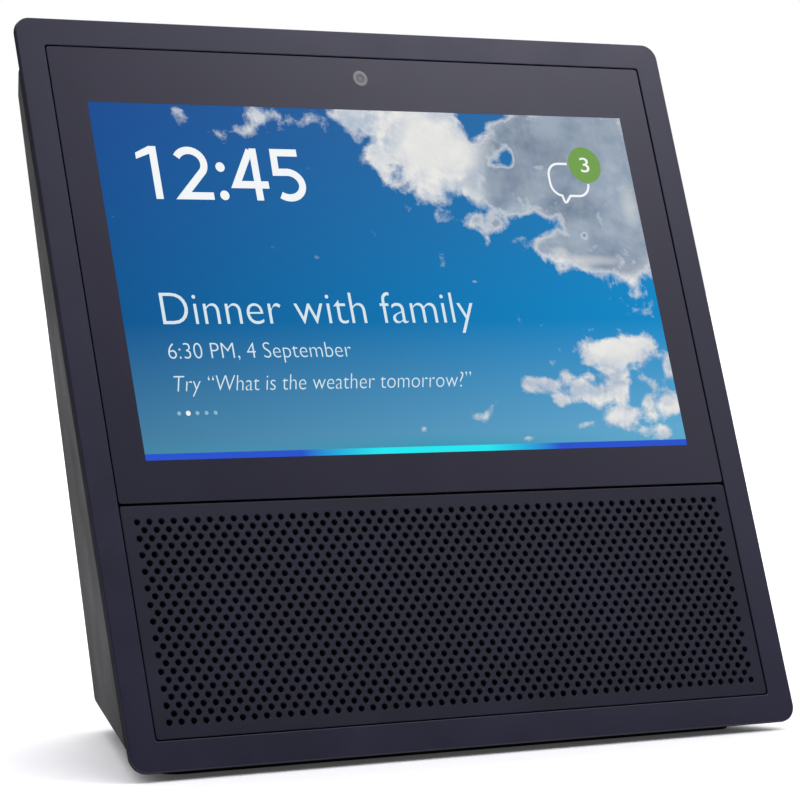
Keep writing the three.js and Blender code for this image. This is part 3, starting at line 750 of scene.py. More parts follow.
# %% [markdown]
# On top of the picture the screen shows a clock, a reminder, a hint, five page dots and
# a message mark. They are light, not paint, so they are thin glowing shapes laid on the
# picture. Letters come from the font that Blender carries inside itself: a text is
# turned into a mesh, measured, and then laid on the glass at the size it should have.

# %% Letters and marks
def glowing(name, colour, strength):
    """Light of one colour, a little uneven, as on a real panel."""
    made, nodes, links, shader = tree_of(name)
    uneven = noise_node(nodes, links, place_node(nodes, links), 900, 2.0)
    dim = tuple(c * 0.97 for c in colour)
    links.new(blended(nodes, links, uneven, sRGB(*dim), sRGB(*colour)), shader.inputs["Emission Color"])
    shader.inputs["Emission Strength"].default_value = strength
    shader.inputs["Base Color"].default_value = (0.0, 0.0, 0.0, 1.0)
    links.new(ranged(nodes, links, uneven, 0.3, 0.7, 0.24, 0.28), shader.inputs["Roughness"])
    shader.inputs["Specular IOR Level"].default_value = 0.02
    return made


clear_white = glowing("clear_white", (250, 253, 255), 0.97)
pale_white = glowing("pale_white", (226, 242, 248), 0.92)
faint_white = glowing("faint_white", (150, 196, 216), 0.9)
badge_green = glowing("badge_green", (116, 162, 82), 1.0)
LETTER_RISE = 0.03
CAPITAL = 0.682


def lettering(name, text, left, foot, height, width, glow, slant=0.0, thin=0.0):
    """A line of text as a flat solid: foot is its base line, height its capitals' height.

    The letters are drawn at size 1, where a capital is CAPITAL high. They are scaled to
    the asked height and width, and a slant moves each point across by its height.
    """
    font = bpy.data.curves.new(name, "FONT")
    font.body = text
    font.offset = -thin
    font.resolution_u = 5
    carrier = bpy.data.objects.new(name + "_font", font)
    bpy.context.scene.collection.objects.link(carrier)
    graph = bpy.context.evaluated_depsgraph_get()
    flat = bpy.data.meshes.new_from_object(carrier.evaluated_get(graph))
    bpy.data.objects.remove(carrier)
    bm = bmesh.new()
    bm.from_mesh(flat)
    bmesh.ops.remove_doubles(bm, verts=bm.verts, dist=1e-5)
    grown = bmesh.ops.extrude_face_region(bm, geom=bm.faces)
    moved = [v for v in grown["geom"] if isinstance(v, bmesh.types.BMVert)]
    for vertex in moved:
        vertex.co.z = 1.0
    bm.to_mesh(flat)
    bm.free()
    points = np.empty(len(flat.vertices) * 3)
    flat.vertices.foreach_get("co", points)
    points = points.reshape(-1, 3)
    size = height / CAPITAL
    points[:, 0] -= points[:, 0].min()
    points[:, 0] *= width / points[:, 0].max()
    points[:, 0] += points[:, 1] * size * slant
    placed = np.stack([
        left + points[:, 0], GLASS_FRONT - LETTER_RISE * points[:, 2], foot + points[:, 1] * size,
    ], 1)
    flat.vertices.foreach_set("co", leaned(placed).astype(np.float32).ravel())
    flat.update()
    return piece(name, flat, glow, slot="screen_glass", crease=30)


TEXT_LEFT = -67.0
lettering("reminder_line", "Dinner with family", TEXT_LEFT, 107.3, 8.2, 87.6, pale_white, thin=0.012)
lettering("time_line", "6:30 PM, 4 September", TEXT_LEFT, 98.7, 4.0, 50.0, pale_white, thin=0.016)
lettering("hint_line", "Try “What is the weather tomorrow?”", TEXT_LEFT - 0.5, 90.5, 4.0, 83.0,
          pale_white, slant=0.22, thin=0.016)

# %% [markdown]
# The clock's figures are drawn, not typed: each is a stroke of one width along a line
# that bends where a pen would. A stroke's two sides stay parallel at a corner if the
# corner point moves along the mitre, so that is how the helper offsets its path.

# %% Clock and marks
def band(path, width):
    """A flat stroke along a path in (x, z): a left and a right side at two depths.

    A point's offset is (n1 + n2) / (1 + n1 . n2) times half the width, where n1 and n2
    are the unit normals of the lines before and after it. That is the mitre.
    """
    path = np.asarray(path, float)
    line = np.diff(path, axis=0)
    normal = np.stack([-line[:, 1], line[:, 0]], 1) / np.linalg.norm(line, axis=1)[:, None]
    before = np.concatenate([normal[:1], normal])
    after = np.concatenate([normal, normal[-1:]])
    mitre = (before + after) / (1 + (before * after).sum(1))[:, None] * width / 2
    near, far = GLASS_FRONT - LETTER_RISE, GLASS_FRONT
    return skin(np.stack([
        at_depth(path + mitre, near), at_depth(path - mitre, near),
        at_depth(path - mitre, far), at_depth(path + mitre, far),
    ], 1))


def arc_points(x, z, radius, start, end, steps=14, tall=None):
    """Points on an arc, or on an ellipse's arc if a different upright radius is given."""
    a = np.radians(np.linspace(start, end, steps))
    return np.stack([x + radius * np.cos(a), z + (tall or radius) * np.sin(a)], 1)


def disc(x, z, radius, rise, sides=32):
    """A thin round slab on the glass."""
    rim = arc_points(x, z, radius, 0, 360 - 360 / sides, sides)
    return skin([at_depth(rim, GLASS_FRONT), at_depth(rim, GLASS_FRONT - rise)])


CLOCK_FOOT = 139.4
PEN = 1.9
one_outline = np.array([
    [0, 10.3], [0, 11.9], [3.75, 13.7], [5.7, 13.7], [5.7, 0], [3.75, 0], [3.75, 11.7],
])
figures = [
    (-57.05, np.concatenate([
        arc_points(4.35, 9.3, 3.85, 150, -32, 20, tall=3.5), [[1.35, 0.95], [9.6, 0.95]],
    ])),
    (-41.95, np.array([[6.3, 13.2], [1.2, 4.1], [10.2, 4.1]])),
    (-41.95, np.array([[7.2, 13.7], [7.2, 0]])),
    (-30.55, np.concatenate([
        [[8.1, 12.75], [1.5, 12.75], [1.35, 7.55]],
        arc_points(4.3, 4.2, 3.95, 84, -128, 22, tall=3.4),
    ])),
]
strokes = [band(path + [left, CLOCK_FOOT], PEN) for left, path in figures]
one = one_outline + [TEXT_LEFT, CLOCK_FOOT]
strokes.append(skin([at_depth(one, GLASS_FRONT), at_depth(one, GLASS_FRONT - LETTER_RISE)]))
strokes += [disc(-44.5, CLOCK_FOOT + up, 1.25, LETTER_RISE) for up in (1.2, 8.6)]
leaning_piece("clock_digits", joined(*strokes), clear_white, slot="screen_glass")

BADGE = np.array([63.2, 150.7])
bubble_path = np.concatenate([
    [[57.7, 150.9]],
    arc_points(54.9, 147.4, 3.5, 90, 180),
    arc_points(54.9, 145.5, 3.5, 180, 262),
    [[54.7, 140.7], [55.0, 140.2], [55.5, 140.3], [56.9, 142.0]],
    arc_points(59.7, 145.5, 3.5, 270, 358),
])
leaning_piece("message_mark", band(bubble_path, 0.62), clear_white, slot="screen_glass")

BADGE_RISE = LETTER_RISE * 1.6
badge_shape = disc(*BADGE, 5.0, BADGE_RISE, 64)
leaning_piece("message_badge", badge_shape, badge_green, slot="screen_glass")
number = lettering("message_count", "3", BADGE[0] - 1.35, BADGE[1] - 2.0, 4.0, 2.7, clear_white)
# The number stands on the badge, so its points move forward by the badge's rise.
number_points = np.empty(len(number.data.vertices) * 3, np.float32)
number.data.vertices.foreach_get("co", number_points)
number_points = number_points.reshape(-1, 3) - INTO * BADGE_RISE * MM
number.data.vertices.foreach_set("co", number_points.astype(np.float32).ravel())

DOT_STEP = 2.43
DOT_LEFT = TEXT_LEFT + 0.2
DOT_HEIGHT = 85.1
dots = [disc(DOT_LEFT + DOT_STEP * i, DOT_HEIGHT, 0.5, LETTER_RISE) for i in (0, 2, 3, 4)]
leaning_piece("page_dots", joined(*dots), faint_white, slot="screen_glass")
dot_now = disc(DOT_LEFT + DOT_STEP, DOT_HEIGHT, 0.62, LETTER_RISE)
leaning_piece("page_dot_now", dot_now, clear_white, slot="screen_glass")

# %% [markdown]
# The camera looks out through a hole in the printed border. From outside, one sees a
# small round window: a grey rim, a lighter ring, a dark iris, and a paler point of lens.
# Those are four tones on one very flat dome, so the material picks the tone by the
# distance from the dome's middle.

# %% Camera window
window_low, window_high = leaned_box("camera_window")
window_middle = (window_low + window_high) / 2
window_centre = leaned([window_middle[0], GLASS_FRONT, window_middle[2]])
WINDOW_R = (window_high[0] - window_low[0]) / 2
WINDOW_PROUD = 0.012
RING_BLUR = 0.08


def ring_glass(name, middle, tones, rough):
    """Glass whose colour depends on the distance from a middle point: (radius, colour) steps."""
    made, nodes, links, shader = tree_of(name)
    where = place_node(nodes, links)
    away = nodes.new("ShaderNodeVectorMath")
    away.operation = "DISTANCE"
    away.inputs[1].default_value = tuple(middle)
    links.new(where, away.inputs[0])
    grain = noise_node(nodes, links, where, 3000, 1.0)
    tone = tones[0][1]
    for radius, colour in tones[1:]:
        start, end = (radius - RING_BLUR) * MM, (radius + RING_BLUR) * MM
        share = ranged(nodes, links, away.outputs["Value"], start, end, 0.0, 1.0)
        tone = blended(nodes, links, share, tone, colour)
    links.new(tone, shader.inputs["Base Color"])
    links.new(ranged(nodes, links, grain, 0.3, 0.7, rough * 0.9, rough * 1.1), shader.inputs["Roughness"])
    shader.inputs["Specular IOR Level"].default_value = 0.5
    raised(nodes, links, shader, grain, 0.1, 0.000002)
    return made


camera_glass = ring_glass("camera_glass", window_centre, [
    (0.0, sRGB(84, 84, 88)), (0.4, sRGB(62, 62, 66)), (1.25, sRGB(98, 98, 104)),
    (2.0, sRGB(70, 70, 78)),
], 0.3)
dome = [[0, 0.0], [0.7, 0.0], [1.2, -0.004], [1.25, -0.03], [1.7, -0.05], [2.05, -0.04],
        [WINDOW_R, 0.0], [WINDOW_R, 1.0], [0, 1.0]]
dome_points, dome_faces = turned(dome, 64)
dome_points = np.stack([
    dome_points[:, 0] + window_middle[0], GLASS_FRONT - WINDOW_PROUD + dome_points[:, 2],
    dome_points[:, 1] + window_middle[2],
], 1)
leaning_piece("camera_window_glass", (dome_points, dome_faces), camera_glass,
              stands_for=["camera_window"], slot="camera_glass", crease=20)

# %% [markdown]
# The speaker panel has more than a thousand round holes in staggered rows. Cutting them
# with booleans would be slow and would leave long thin triangles. Instead the panel is
# built of identical rectangular cells. Each cell holds one hole, and each neighbour
# meets it corner to corner. Rows are staggered by half a cell, so every cell also has a
# point halfway along its top and its bottom: there it meets the corners of the cells
# above and below. A cell is worked out once and copied by adding every centre to it.

# %% Speaker panel: one cell, many times
HOLE_R = 0.8
COLUMN = 3.164
ROW = 1.9835
ROWS = 25
LONG_ROW = 53
HOLE_SIDES = 12
CHAMFER = 0.12
FIELD_DROP = 0.03
PANEL_ROUND = 0.25
PANEL_FRONT = grille_low[1]
PANEL_BACK = grille_high[1]
field_middle = (grille_low[2] + grille_high[2]) / 2 - FIELD_DROP
row_z = field_middle + (np.arange(ROWS) - (ROWS - 1) / 2) * ROW


def row_centres(row):
    """The hole centres of one row: every second row is one hole shorter."""
    count = LONG_ROW - row % 2
    return np.stack([(np.arange(count) - (count - 1) / 2) * COLUMN, np.full(count, row_z[row])], 1)


centres = np.concatenate([row_centres(row) for row in range(ROWS)])


def cell():
    """One cell round a hole at (0, 0), as points and faces.

    Its points are six on the rim and twelve round the hole, at the front and the back,
    and twelve more where the hole's small chamfer ends. The rim and the hole share six
    five-sided faces: each has two rim points and three hole points.
    """
    x, z = COLUMN / 2, ROW / 2
    rim = np.array([[x, -z], [x, z], [0, z], [-x, z], [-x, -z], [0, -z]])
    angle = (np.arange(HOLE_SIDES) - 1) * 2 * math.pi / HOLE_SIDES
    circle = np.stack([np.cos(angle), np.sin(angle)], 1)
    points = np.concatenate([
        at_depth(rim, PANEL_FRONT), at_depth(circle * (HOLE_R + CHAMFER), PANEL_FRONT),
        at_depth(circle * HOLE_R, PANEL_FRONT + CHAMFER), at_depth(circle * HOLE_R, PANEL_BACK),
        at_depth(rim, PANEL_BACK),
    ])
    six = np.arange(6)
    twelve = np.arange(HOLE_SIDES)
    hole = 6 + twelve
    front = np.stack([
        six, (six + 1) % 6, hole[(2 * six + 2) % HOLE_SIDES], hole[2 * six + 1], hole[2 * six],
    ], 1)
    back = np.where(front < 6, front + 42, front + 24)[:, ::-1]
    walls = [
        np.stack([ring, np.roll(ring, -1), np.roll(ring, -1) + HOLE_SIDES, ring + HOLE_SIDES], 1)
        for ring in (hole, hole + HOLE_SIDES)
    ]
    return points, [front, back, *walls]


def copies(shape, places):
    """A shape repeated: every place is added to every point in one step."""
    points, faces = shape
    moved = points[None] + at_depth(places, 0.0)[:, None, :]
    first = np.arange(len(places))[:, None, None] * len(points)
    return moved.reshape(-1, 3), [(f[None] + first).reshape(-1, f.shape[1]) for f in faces]


def half_cell():
    """The plain stub that fills a shorter row's end: a front and a back, half a cell wide."""
    x, z = COLUMN / 4, ROW / 2
    rim = np.array([[x, -z], [x, z], [-x, z], [-x, -z]])
    points = np.concatenate([at_depth(rim, PANEL_FRONT), at_depth(rim, PANEL_BACK)])
    return points, [np.array([[0, 1, 2, 3], [7, 6, 5, 4]])]


field_half = LONG_ROW * COLUMN / 2
short_rows = row_z[1::2]
stubs = np.concatenate([
    np.stack([np.full(len(short_rows), side * (field_half - COLUMN / 4)), short_rows], 1)
    for side in (-1, 1)
])
print(len(centres), "holes in a field", round(2 * field_half, 1), "by", round(ROWS * ROW, 1), "mm")

# %% [markdown]
# Round the field of holes runs a plain margin with rounded rims. It has to share the
# field's edge points, so its loops have the same points along each side, and the points
# of a corner arc shrink to one point where the loop has no radius.

# %% Speaker panel: margin
edge_x = (np.arange(2 * LONG_ROW + 1) - LONG_ROW) * COLUMN / 2
edge_z = np.append(row_z - ROW / 2, row_z[-1] + ROW / 2)


def framed(half, low, high, radius, steps=6):
    """An outline that passes every edge_x below and above, and every edge_z at the sides."""
    def arc(x, z, start):
        a = np.radians(np.linspace(start, start + 90, steps))
        return np.stack([x + radius * np.cos(a), z + radius * np.sin(a)], 1)

    def line(x, z):
        return np.stack(np.broadcast_arrays(x, z), 1)

    inner = half - radius
    return np.concatenate([
        line(edge_x, low), arc(inner, low + radius, -90), line(half, edge_z),
        arc(inner, high - radius, 0), line(edge_x[::-1], high), arc(-inner, high - radius, 90),
        line(-half, edge_z[::-1]), arc(-inner, low + radius, 180),
    ])


field_edge = framed(field_half, edge_z[0], edge_z[-1], 0.0)
margin_loops = [at_depth(field_edge, PANEL_FRONT)]
for inset, depth in rounded_rim(PANEL_ROUND, PANEL_FRONT, PANEL_BACK, 4):
    outer_edge = framed(grille_high[0] - inset, grille_low[2] + inset, grille_high[2] - inset,
                        PANEL_CORNER - inset)
    margin_loops.append(at_depth(outer_edge, depth))
margin_loops.append(at_depth(field_edge, PANEL_BACK))
panel_shape = joined(
    copies(cell(), centres), copies(half_cell(), stubs), skin(margin_loops, capped=False))
leaning_piece("speaker_panel", panel_shape, grille_satin, stands_for=["speaker_grille"],
              slot="grille_plastic", crease=30)

# %% [markdown]
# Behind the holes a thin cloth is stretched over the loudspeakers, to keep dust out. It
# is a real sheet: two surfaces a fraction of a millimetre apart, pulled flat, with the
# slight bow that a stretched cloth keeps between its glued edges. The weave is drawn by
# two crossed sets of waves in the material, one for each direction of thread.

# %% Grille cloth
cloth_low, cloth_high = leaned_box("grille_cloth")
CLOTH_THICK = 0.3
CLOTH_SEAT = 0.09
CLOTH_BOW = 0.08
THREAD = 0.32


def woven_cloth():
    """Black cloth: two crossed sets of waves, each as wide as a thread, raise the weave."""
    made, nodes, links, shader = tree_of("woven_cloth")
    where = nodes.new("ShaderNodeUVMap")
    where.uv_map = "threads"
    waves = []
    for direction in ("X", "Y"):
        wave = nodes.new("ShaderNodeTexWave")
        wave.bands_direction = direction
        wave.inputs["Scale"].default_value = 1 / THREAD * math.pi / 10
        wave.inputs["Distortion"].default_value = 0.6
        wave.inputs["Detail Scale"].default_value = 0.2
        links.new(where.outputs["UV"], wave.inputs["Vector"])
        waves.append(wave.outputs["Fac"])
    weave = sums(nodes, links, "MULTIPLY", *waves)
    links.new(blended(nodes, links, weave, sRGB(7, 7, 9), sRGB(21, 21, 25)), shader.inputs["Base Color"])
    links.new(ranged(nodes, links, weave, 0.0, 1.0, 0.98, 0.86), shader.inputs["Roughness"])
    shader.inputs["Specular IOR Level"].default_value = 0.12
    shader.inputs["Sheen Weight"].default_value = 0.05
    shader.inputs["Sheen Roughness"].default_value = 0.5
    raised(nodes, links, shader, weave, 0.6, 0.0001)
    return made


def bowed(x, z):
    """How far the cloth bows out: a product of two half waves, and nothing at its edges."""
    u = (x - cloth_low[0]) / (cloth_high[0] - cloth_low[0])
    v = (z - cloth_low[2]) / (cloth_high[2] - cloth_low[2])
    return CLOTH_BOW * np.sin(math.pi * u) * np.sin(math.pi * v)


cloth_x, cloth_z = np.meshgrid(
    np.linspace(cloth_low[0], cloth_high[0], 97), np.linspace(cloth_low[2], cloth_high[2], 31))
cloth_rows, cloth_cols = cloth_x.shape
bow = bowed(cloth_x, cloth_z)
cloth_front = np.stack([cloth_x, cloth_low[1] + CLOTH_SEAT - bow, cloth_z], 2).reshape(-1, 3)
cloth_back = cloth_front + [0, CLOTH_THICK, 0]
cloth_index = np.arange(cloth_rows * cloth_cols).reshape(cloth_rows, cloth_cols)
cloth_quads = np.stack([
    cloth_index[:-1, :-1], cloth_index[:-1, 1:], cloth_index[1:, 1:], cloth_index[1:, :-1],
], 2).reshape(-1, 4)
cloth_edge = np.concatenate([
    cloth_index[0, :-1], cloth_index[:-1, -1], cloth_index[-1, :0:-1], cloth_index[:0:-1, 0],
])
behind = cloth_rows * cloth_cols
cloth_hem = np.stack([
    np.roll(cloth_edge, -1), cloth_edge, cloth_edge + behind, np.roll(cloth_edge, -1) + behind,
], 1)
cloth_points = np.concatenate([cloth_front, cloth_back])
cloth_mesh = mesh_of("cloth", leaned(cloth_points), [cloth_quads, cloth_quads[:, ::-1] + behind, cloth_hem])
thread_map = cloth_mesh.uv_layers.new(name="threads")
corner_points = np.empty(len(cloth_mesh.loops), np.int32)
cloth_mesh.loops.foreach_get("vertex_index", corner_points)
thread_map.data.foreach_set("uv", cloth_points[corner_points][:, [0, 2]].astype(np.float32).ravel())
cloth = piece("grille_cloth_sheet", cloth_mesh, woven_cloth(), stands_for=["grille_cloth"],
              slot="grille_cloth")

# %% [markdown]
# The shell behind the plate is a box with six sloping flats, whose edges are round. A
# neat way to get it exactly is to put a ball into every corner, touching the three flats
# that meet there, and to wrap the balls. The flats themselves are read from the CAD
# shell: for each rough direction, the outermost large triangle tells the flat's normal
# and its distance.

# %% The shell's flats
shell_mesh = frame["nodes"]["rear_cover"].data
AXES = np.stack([RIGHT, INTO, UP])
shell_normals = np.empty(len(shell_mesh.polygons) * 3)
shell_mesh.polygons.foreach_get("normal", shell_normals)
shell_normals = shell_normals.reshape(-1, 3) @ AXES.T
shell_middles = np.empty(len(shell_mesh.polygons) * 3)
shell_mesh.polygons.foreach_get("center", shell_middles)
shell_middles = (shell_middles.reshape(-1, 3) - ORIGIN) @ AXES.T / MM
shell_areas = np.empty(len(shell_mesh.polygons))
shell_mesh.polygons.foreach_get("area", shell_areas)


def flat_towards(x, y, z):
    """The normal and the distance of the shell's largest triangle that faces a direction."""
    guess = np.array([x, y, z]) / math.hypot(x, y, z)
    best = np.argmax(np.where(shell_normals @ guess > 0.999, shell_areas, 0))
    normal = shell_normals[best] / np.linalg.norm(shell_normals[best])
    return normal, float(normal @ shell_middles[best])


top_flat = flat_towards(0, 0, 1)
right_flat = flat_towards(1, 0.4, 0)
left_flat = flat_towards(-1, 0.4, 0)
back_flat = flat_towards(0, 1, 0.44)
under_flat = flat_towards(0, math.sin(LEAN), -math.cos(LEAN))
shell_low, shell_high = leaned_box("rear_cover")
front_flat = (np.array([0, -1.0, 0]), 0.5 - shell_low[1])
for label, flat in (("top", top_flat), ("right", right_flat), ("back", back_flat), ("under", under_flat)):
    print(label, "flat", flat[0].round(3), round(flat[1], 2), "mm")

# %% [markdown]
# The skin over the balls is a grid. Its rows start at the middle of the back flat, bend
# round the back edges, cross to the front balls, and bend to the front. Its columns run
# round: right, top, left, under. A grid point is its ball's centre plus the ball's radius
# times a direction. Between two corners, the last point of one ball and the first of the
# next have the same direction, so the quad between them lies in the flat. The hollow is
# the same skin with smaller balls. Its front balls lie further forward, past the plane
# where the shell is cut off, so the shell is open towards the plate.

# %% The skin over the balls
WALL = 2.2
MOUTH = 12.0
FRONT_R = 2.5
BACK_TOP_R = 3.0
BACK_UNDER_R = 3.5
ARC_STEPS = 11


def ball_centre(flats, radius):
    """The point that lies one radius inside three flats: a 3 by 3 system."""
    normals = np.stack([normal for normal, _ in flats])
    reach = np.array([distance - radius for _, distance in flats])
    return np.linalg.solve(normals, reach)


def between(a, b):
    """Directions from a to b in equal turns: each is a weighted sum of the two, made unit."""
    angle = math.acos(float(np.clip(a @ b, -1, 1)))
    t = np.linspace(0, 1, ARC_STEPS)[:, None]
    return (np.sin((1 - t) * angle) * a + np.sin(t * angle) * b) / math.sin(angle)


def shell_skin(shrink, forward=0.0):
    """The closed skin over the eight balls, each ball smaller by a shrink.

    The front balls can be moved forward along the flats that they touch.
    """
    front = (front_flat[0], front_flat[1] + forward)
    around = [right_flat, top_flat, left_flat, under_flat]
    rows = []
    for end, radii in ((back_flat, (BACK_TOP_R, BACK_TOP_R, BACK_UNDER_R, BACK_UNDER_R)),
                       (front, (FRONT_R,) * 4)):
        columns = []
        for corner in range(4):
            pair = (around[corner], around[(corner + 1) % 4])
            centre = ball_centre((*pair, end), radii[corner])
            swing = between(pair[0][0], pair[1][0])
            t = np.linspace(0, math.pi / 2, ARC_STEPS)[:, None, None]
            lift = end[0] - (swing @ end[0])[:, None] * swing
            lift /= np.linalg.norm(lift, axis=1)[:, None]
            tilt = np.arccos(np.clip(swing @ end[0], -1, 1))[None, :, None] * t / (math.pi / 2)
            way = np.cos(tilt) * swing[None] + np.sin(tilt) * lift[None]
            columns.append(centre + way * (radii[corner] - shrink))
        rows.append(np.concatenate(columns, axis=1))
    back_rows, front_rows = rows
    return skin(np.concatenate([back_rows[::-1], front_rows]))


def solid(name, shape):
    """A closed shape in the leaning frame as a mesh in the room, its faces outwards."""
    made = mesh_of(name, leaned(shape[0]), shape[1])
    face_out(made)
    return made


def carved(mesh, tools, how="DIFFERENCE"):
    """A mesh after each of several meshes is cut from it, kept, or joined to it."""
    for tool in tools:
        holder = bpy.data.objects.new("tool", tool)
        bpy.context.scene.collection.objects.link(holder)
        mesh = worked(mesh, "BOOLEAN", object=holder, operation=how, solver="EXACT")
        bpy.data.objects.remove(holder)
    return mesh


def upright(points):
    """Places in the room's upright frame, y from the plate's edge, as leaning-frame places."""
    points = np.asarray(points, float) + [0, 0, -ORIGIN[2] / MM]
    return points @ AXES.T


# %% [markdown]
# Three holes for the buttons and eight for the microphones are cut along the slope. The
# power and data sockets sit in a recess at the bottom of the back. A moulded opening
# never has a knife edge, so the cutters flare where they leave the surface: that gives
# each opening a small chamfer.

# %% Shell with its openings
buttons = {}
for label in ("mute", "volume_down", "volume_up"):
    low, high = leaned_box(label + "_button")
    buttons[label] = (low + high) / 2
BUTTON_R = 4.2
button_y = buttons["mute"][1]
SHELL_TOP = top_flat[1]
HOLE_GAP = 0.3
MIC_R = 0.6
PORT_HALF = 17.0
PORT_LOW = 13.0
PORT_HIGH = 28.0
PORT_FLOOR = 82.0
PORT_WALL = 2.0
FLARE = 0.35


def along_slope(profile, x, y, sides=48):
    """A profile turned about the slope's direction, at (x, y) of the leaning frame."""
    points, faces = turned(profile, sides)
    return points + [x, y, 0], faces


button_cutters = [
    solid("cutter", along_slope([
        [0, SHELL_TOP - 8], [BUTTON_R + HOLE_GAP, SHELL_TOP - 8],
        [BUTTON_R + HOLE_GAP, SHELL_TOP - FLARE], [BUTTON_R + HOLE_GAP + 2 * FLARE, SHELL_TOP + FLARE],
        [0, SHELL_TOP + FLARE],
    ], middle[0], button_y)) for middle in buttons.values()
]
mic_cutters = [
    solid("cutter", along_slope([
        [0, SHELL_TOP - 6], [MIC_R, SHELL_TOP - 6], [MIC_R, SHELL_TOP - 0.15],
        [MIC_R + 0.3, SHELL_TOP + 0.15], [0, SHELL_TOP + 0.15],
    ], side * x, button_y, 16)) for side in (-1, 1) for x in (12, 36, 48, 60)
]


def back_reach(height):
    """How far back the shell's back flat is at a height above the surface, from the plate's edge."""
    normal, distance = back_flat
    room_normal = normal @ AXES
    point = np.stack(np.broadcast_arrays(0.0, 0.0, np.asarray(height) - ORIGIN[2] / MM), -1)
    return (distance - point @ room_normal) / room_normal[1]


def port_loop(inset, floor=None, beyond=0.0):
    """The recess's outline: on its floor, or lying in the back flat, moved out by beyond."""
    rim = outline(oblong(PORT_HALF, PORT_LOW, PORT_HIGH), 1.6, inset)
    depth = np.full(len(rim), floor) if floor else back_reach(rim[:, 1]) + beyond
    return upright(np.stack([rim[:, 0], depth, rim[:, 1]], 1))


port_cutter = solid("cutter", skin([
    port_loop(0.6, PORT_FLOOR), port_loop(0.0, PORT_FLOOR + 0.6), port_loop(0.0, None, -FLARE),
    port_loop(-2 * FLARE, None, FLARE), port_loop(-2 * FLARE, None, 6.0),
]))
port_block = solid("block", skin([
    port_loop(-PORT_WALL, PORT_FLOOR - PORT_WALL), port_loop(-PORT_WALL, None, 6.0),
]))
jack_low, jack_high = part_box("power_jack")
usb_low, usb_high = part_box("usb_socket")
JACK_X = (jack_low[0] + jack_high[0]) / 2 / MM
USB_X = (usb_low[0] + usb_high[0]) / 2 / MM
PORT_Z = (usb_low[2] + usb_high[2]) / 2 / MM
NOSE_TIP = jack_high[1] / MM - ORIGIN[1] / MM


def along_back(profile, x, z, sides=48):
    """A profile of (radius, y) turned about a line that runs straight back at (x, z)."""
    points, faces = turned(profile, sides)
    return upright(np.stack([points[:, 0] + x, points[:, 2], points[:, 1] + z], 1)), faces


def back_slab(half_x, half_z, radius, x, z, near, far, rim=0.05):
    """A rounded block that runs straight back, centred at (x, z)."""
    points, faces = slab(oblong(half_x, -half_z, half_z), radius, near, far, rim)
    return upright(points + [x, 0, z]), faces


socket_cutters = [
    solid("cutter", along_back([
        [0, PORT_FLOOR - 6], [4.3, PORT_FLOOR - 6], [4.3, PORT_FLOOR - 0.2], [4.7, PORT_FLOOR + 0.2],
        [0, PORT_FLOOR + 0.2],
    ], JACK_X, PORT_Z)),
    solid("cutter", back_slab(4.1, 1.7, 0.7, USB_X, PORT_Z, PORT_FLOOR - 6, PORT_FLOOR + 1)),
]
front_cutter = solid("cutter", slab(oblong(120, -40, 220), 1, -20, shell_low[1], 0.1))
hollow = carved(solid("hollow", shell_skin(WALL, MOUTH)), [port_block])
shell = carved(solid("shell", shell_skin(0.0)), [
    hollow, front_cutter, *button_cutters, *mic_cutters, port_cutter, *socket_cutters,
])
piece("rear_shell", shell, shell_matte, stands_for=["rear_cover"], slot="shell_plastic", crease=32)

# %% [markdown]
# The sockets are small, but a plug goes into them, so their mouths are worth making
# well. The power jack is a round nose with a bore, and a thin pin in its middle. The
# data socket is a folded metal shell with a plastic tongue.

# %% Sockets
BORE_R = 2.75
PIN_R = 0.9
jack_nose = along_back([
    [0, 70.0], [4.0, 70.0], [4.0, NOSE_TIP - 0.25], [3.75, NOSE_TIP], [BORE_R + 0.35, NOSE_TIP],
    [BORE_R, NOSE_TIP - 0.35], [BORE_R, 73.0], [PIN_R, 73.0], [PIN_R, NOSE_TIP - 1.3],
    [PIN_R * 0.6, NOSE_TIP - 0.9], [0, NOSE_TIP - 0.9],
], JACK_X, PORT_Z)
jack_body = back_slab(5.5, 5.5, 0.5, JACK_X, PORT_Z, 69.9, 72.5, 0.2)
leaning_piece("power_jack_nose", joined(jack_nose, jack_body), socket_gloss,
              stands_for=["power_jack"], slot="jack_plastic", crease=40)


def usb_rim(half_x, half_z, depth):
    rim = outline(oblong(half_x, -half_z, half_z), 0.9, 0.0) + [USB_X, PORT_Z]
    return upright(at_depth(rim, depth))


usb_points, usb_faces = skin([
    usb_rim(3.8, 1.4, 73.0), usb_rim(3.8, 1.4, NOSE_TIP - 0.08), usb_rim(3.72, 1.32, NOSE_TIP),
    usb_rim(3.48, 1.08, NOSE_TIP), usb_rim(3.4, 1.0, NOSE_TIP - 0.08), usb_rim(3.4, 1.0, 76.0),
])
usb_tongue = back_slab(2.6, 0.3, 0.2, USB_X, PORT_Z, 75.0, NOSE_TIP - 0.9)
tinned_steel = grained("tinned_steel", (168, 170, 174), 0.34, metal=1.0, size=2600,
                       depth=0.000008, spread=0.06)
usb_points, usb_faces = joined((usb_points, usb_faces), usb_tongue)
leaning_piece("data_socket_shell", (usb_points, usb_faces), tinned_steel, stands_for=["usb_socket"],
              slot="pressed_steel", crease=40)

# %% [markdown]
# Each button is a cap with a soft rim and a shallow dish that a fingertip finds. It is
# wider below the shell, so it can't fall out, and a small post presses the switch. On
# each dish stands a tiny moulded mark: a barred ring, a minus and a plus.

# %% Buttons
cap_low, cap_high = leaned_box("mute_button")
CAP_TOP = cap_high[2]
CAP_LOW = cap_low[2]
CAP_ROUND = 0.5
FLANGE_R = (cap_high[0] - cap_low[0]) / 2
FLANGE_TOP = CAP_LOW + 1.8
POST_R = 1.2
POST_TALL = 0.6
DISH_R = 3.7
DISH_DEEP = 0.32


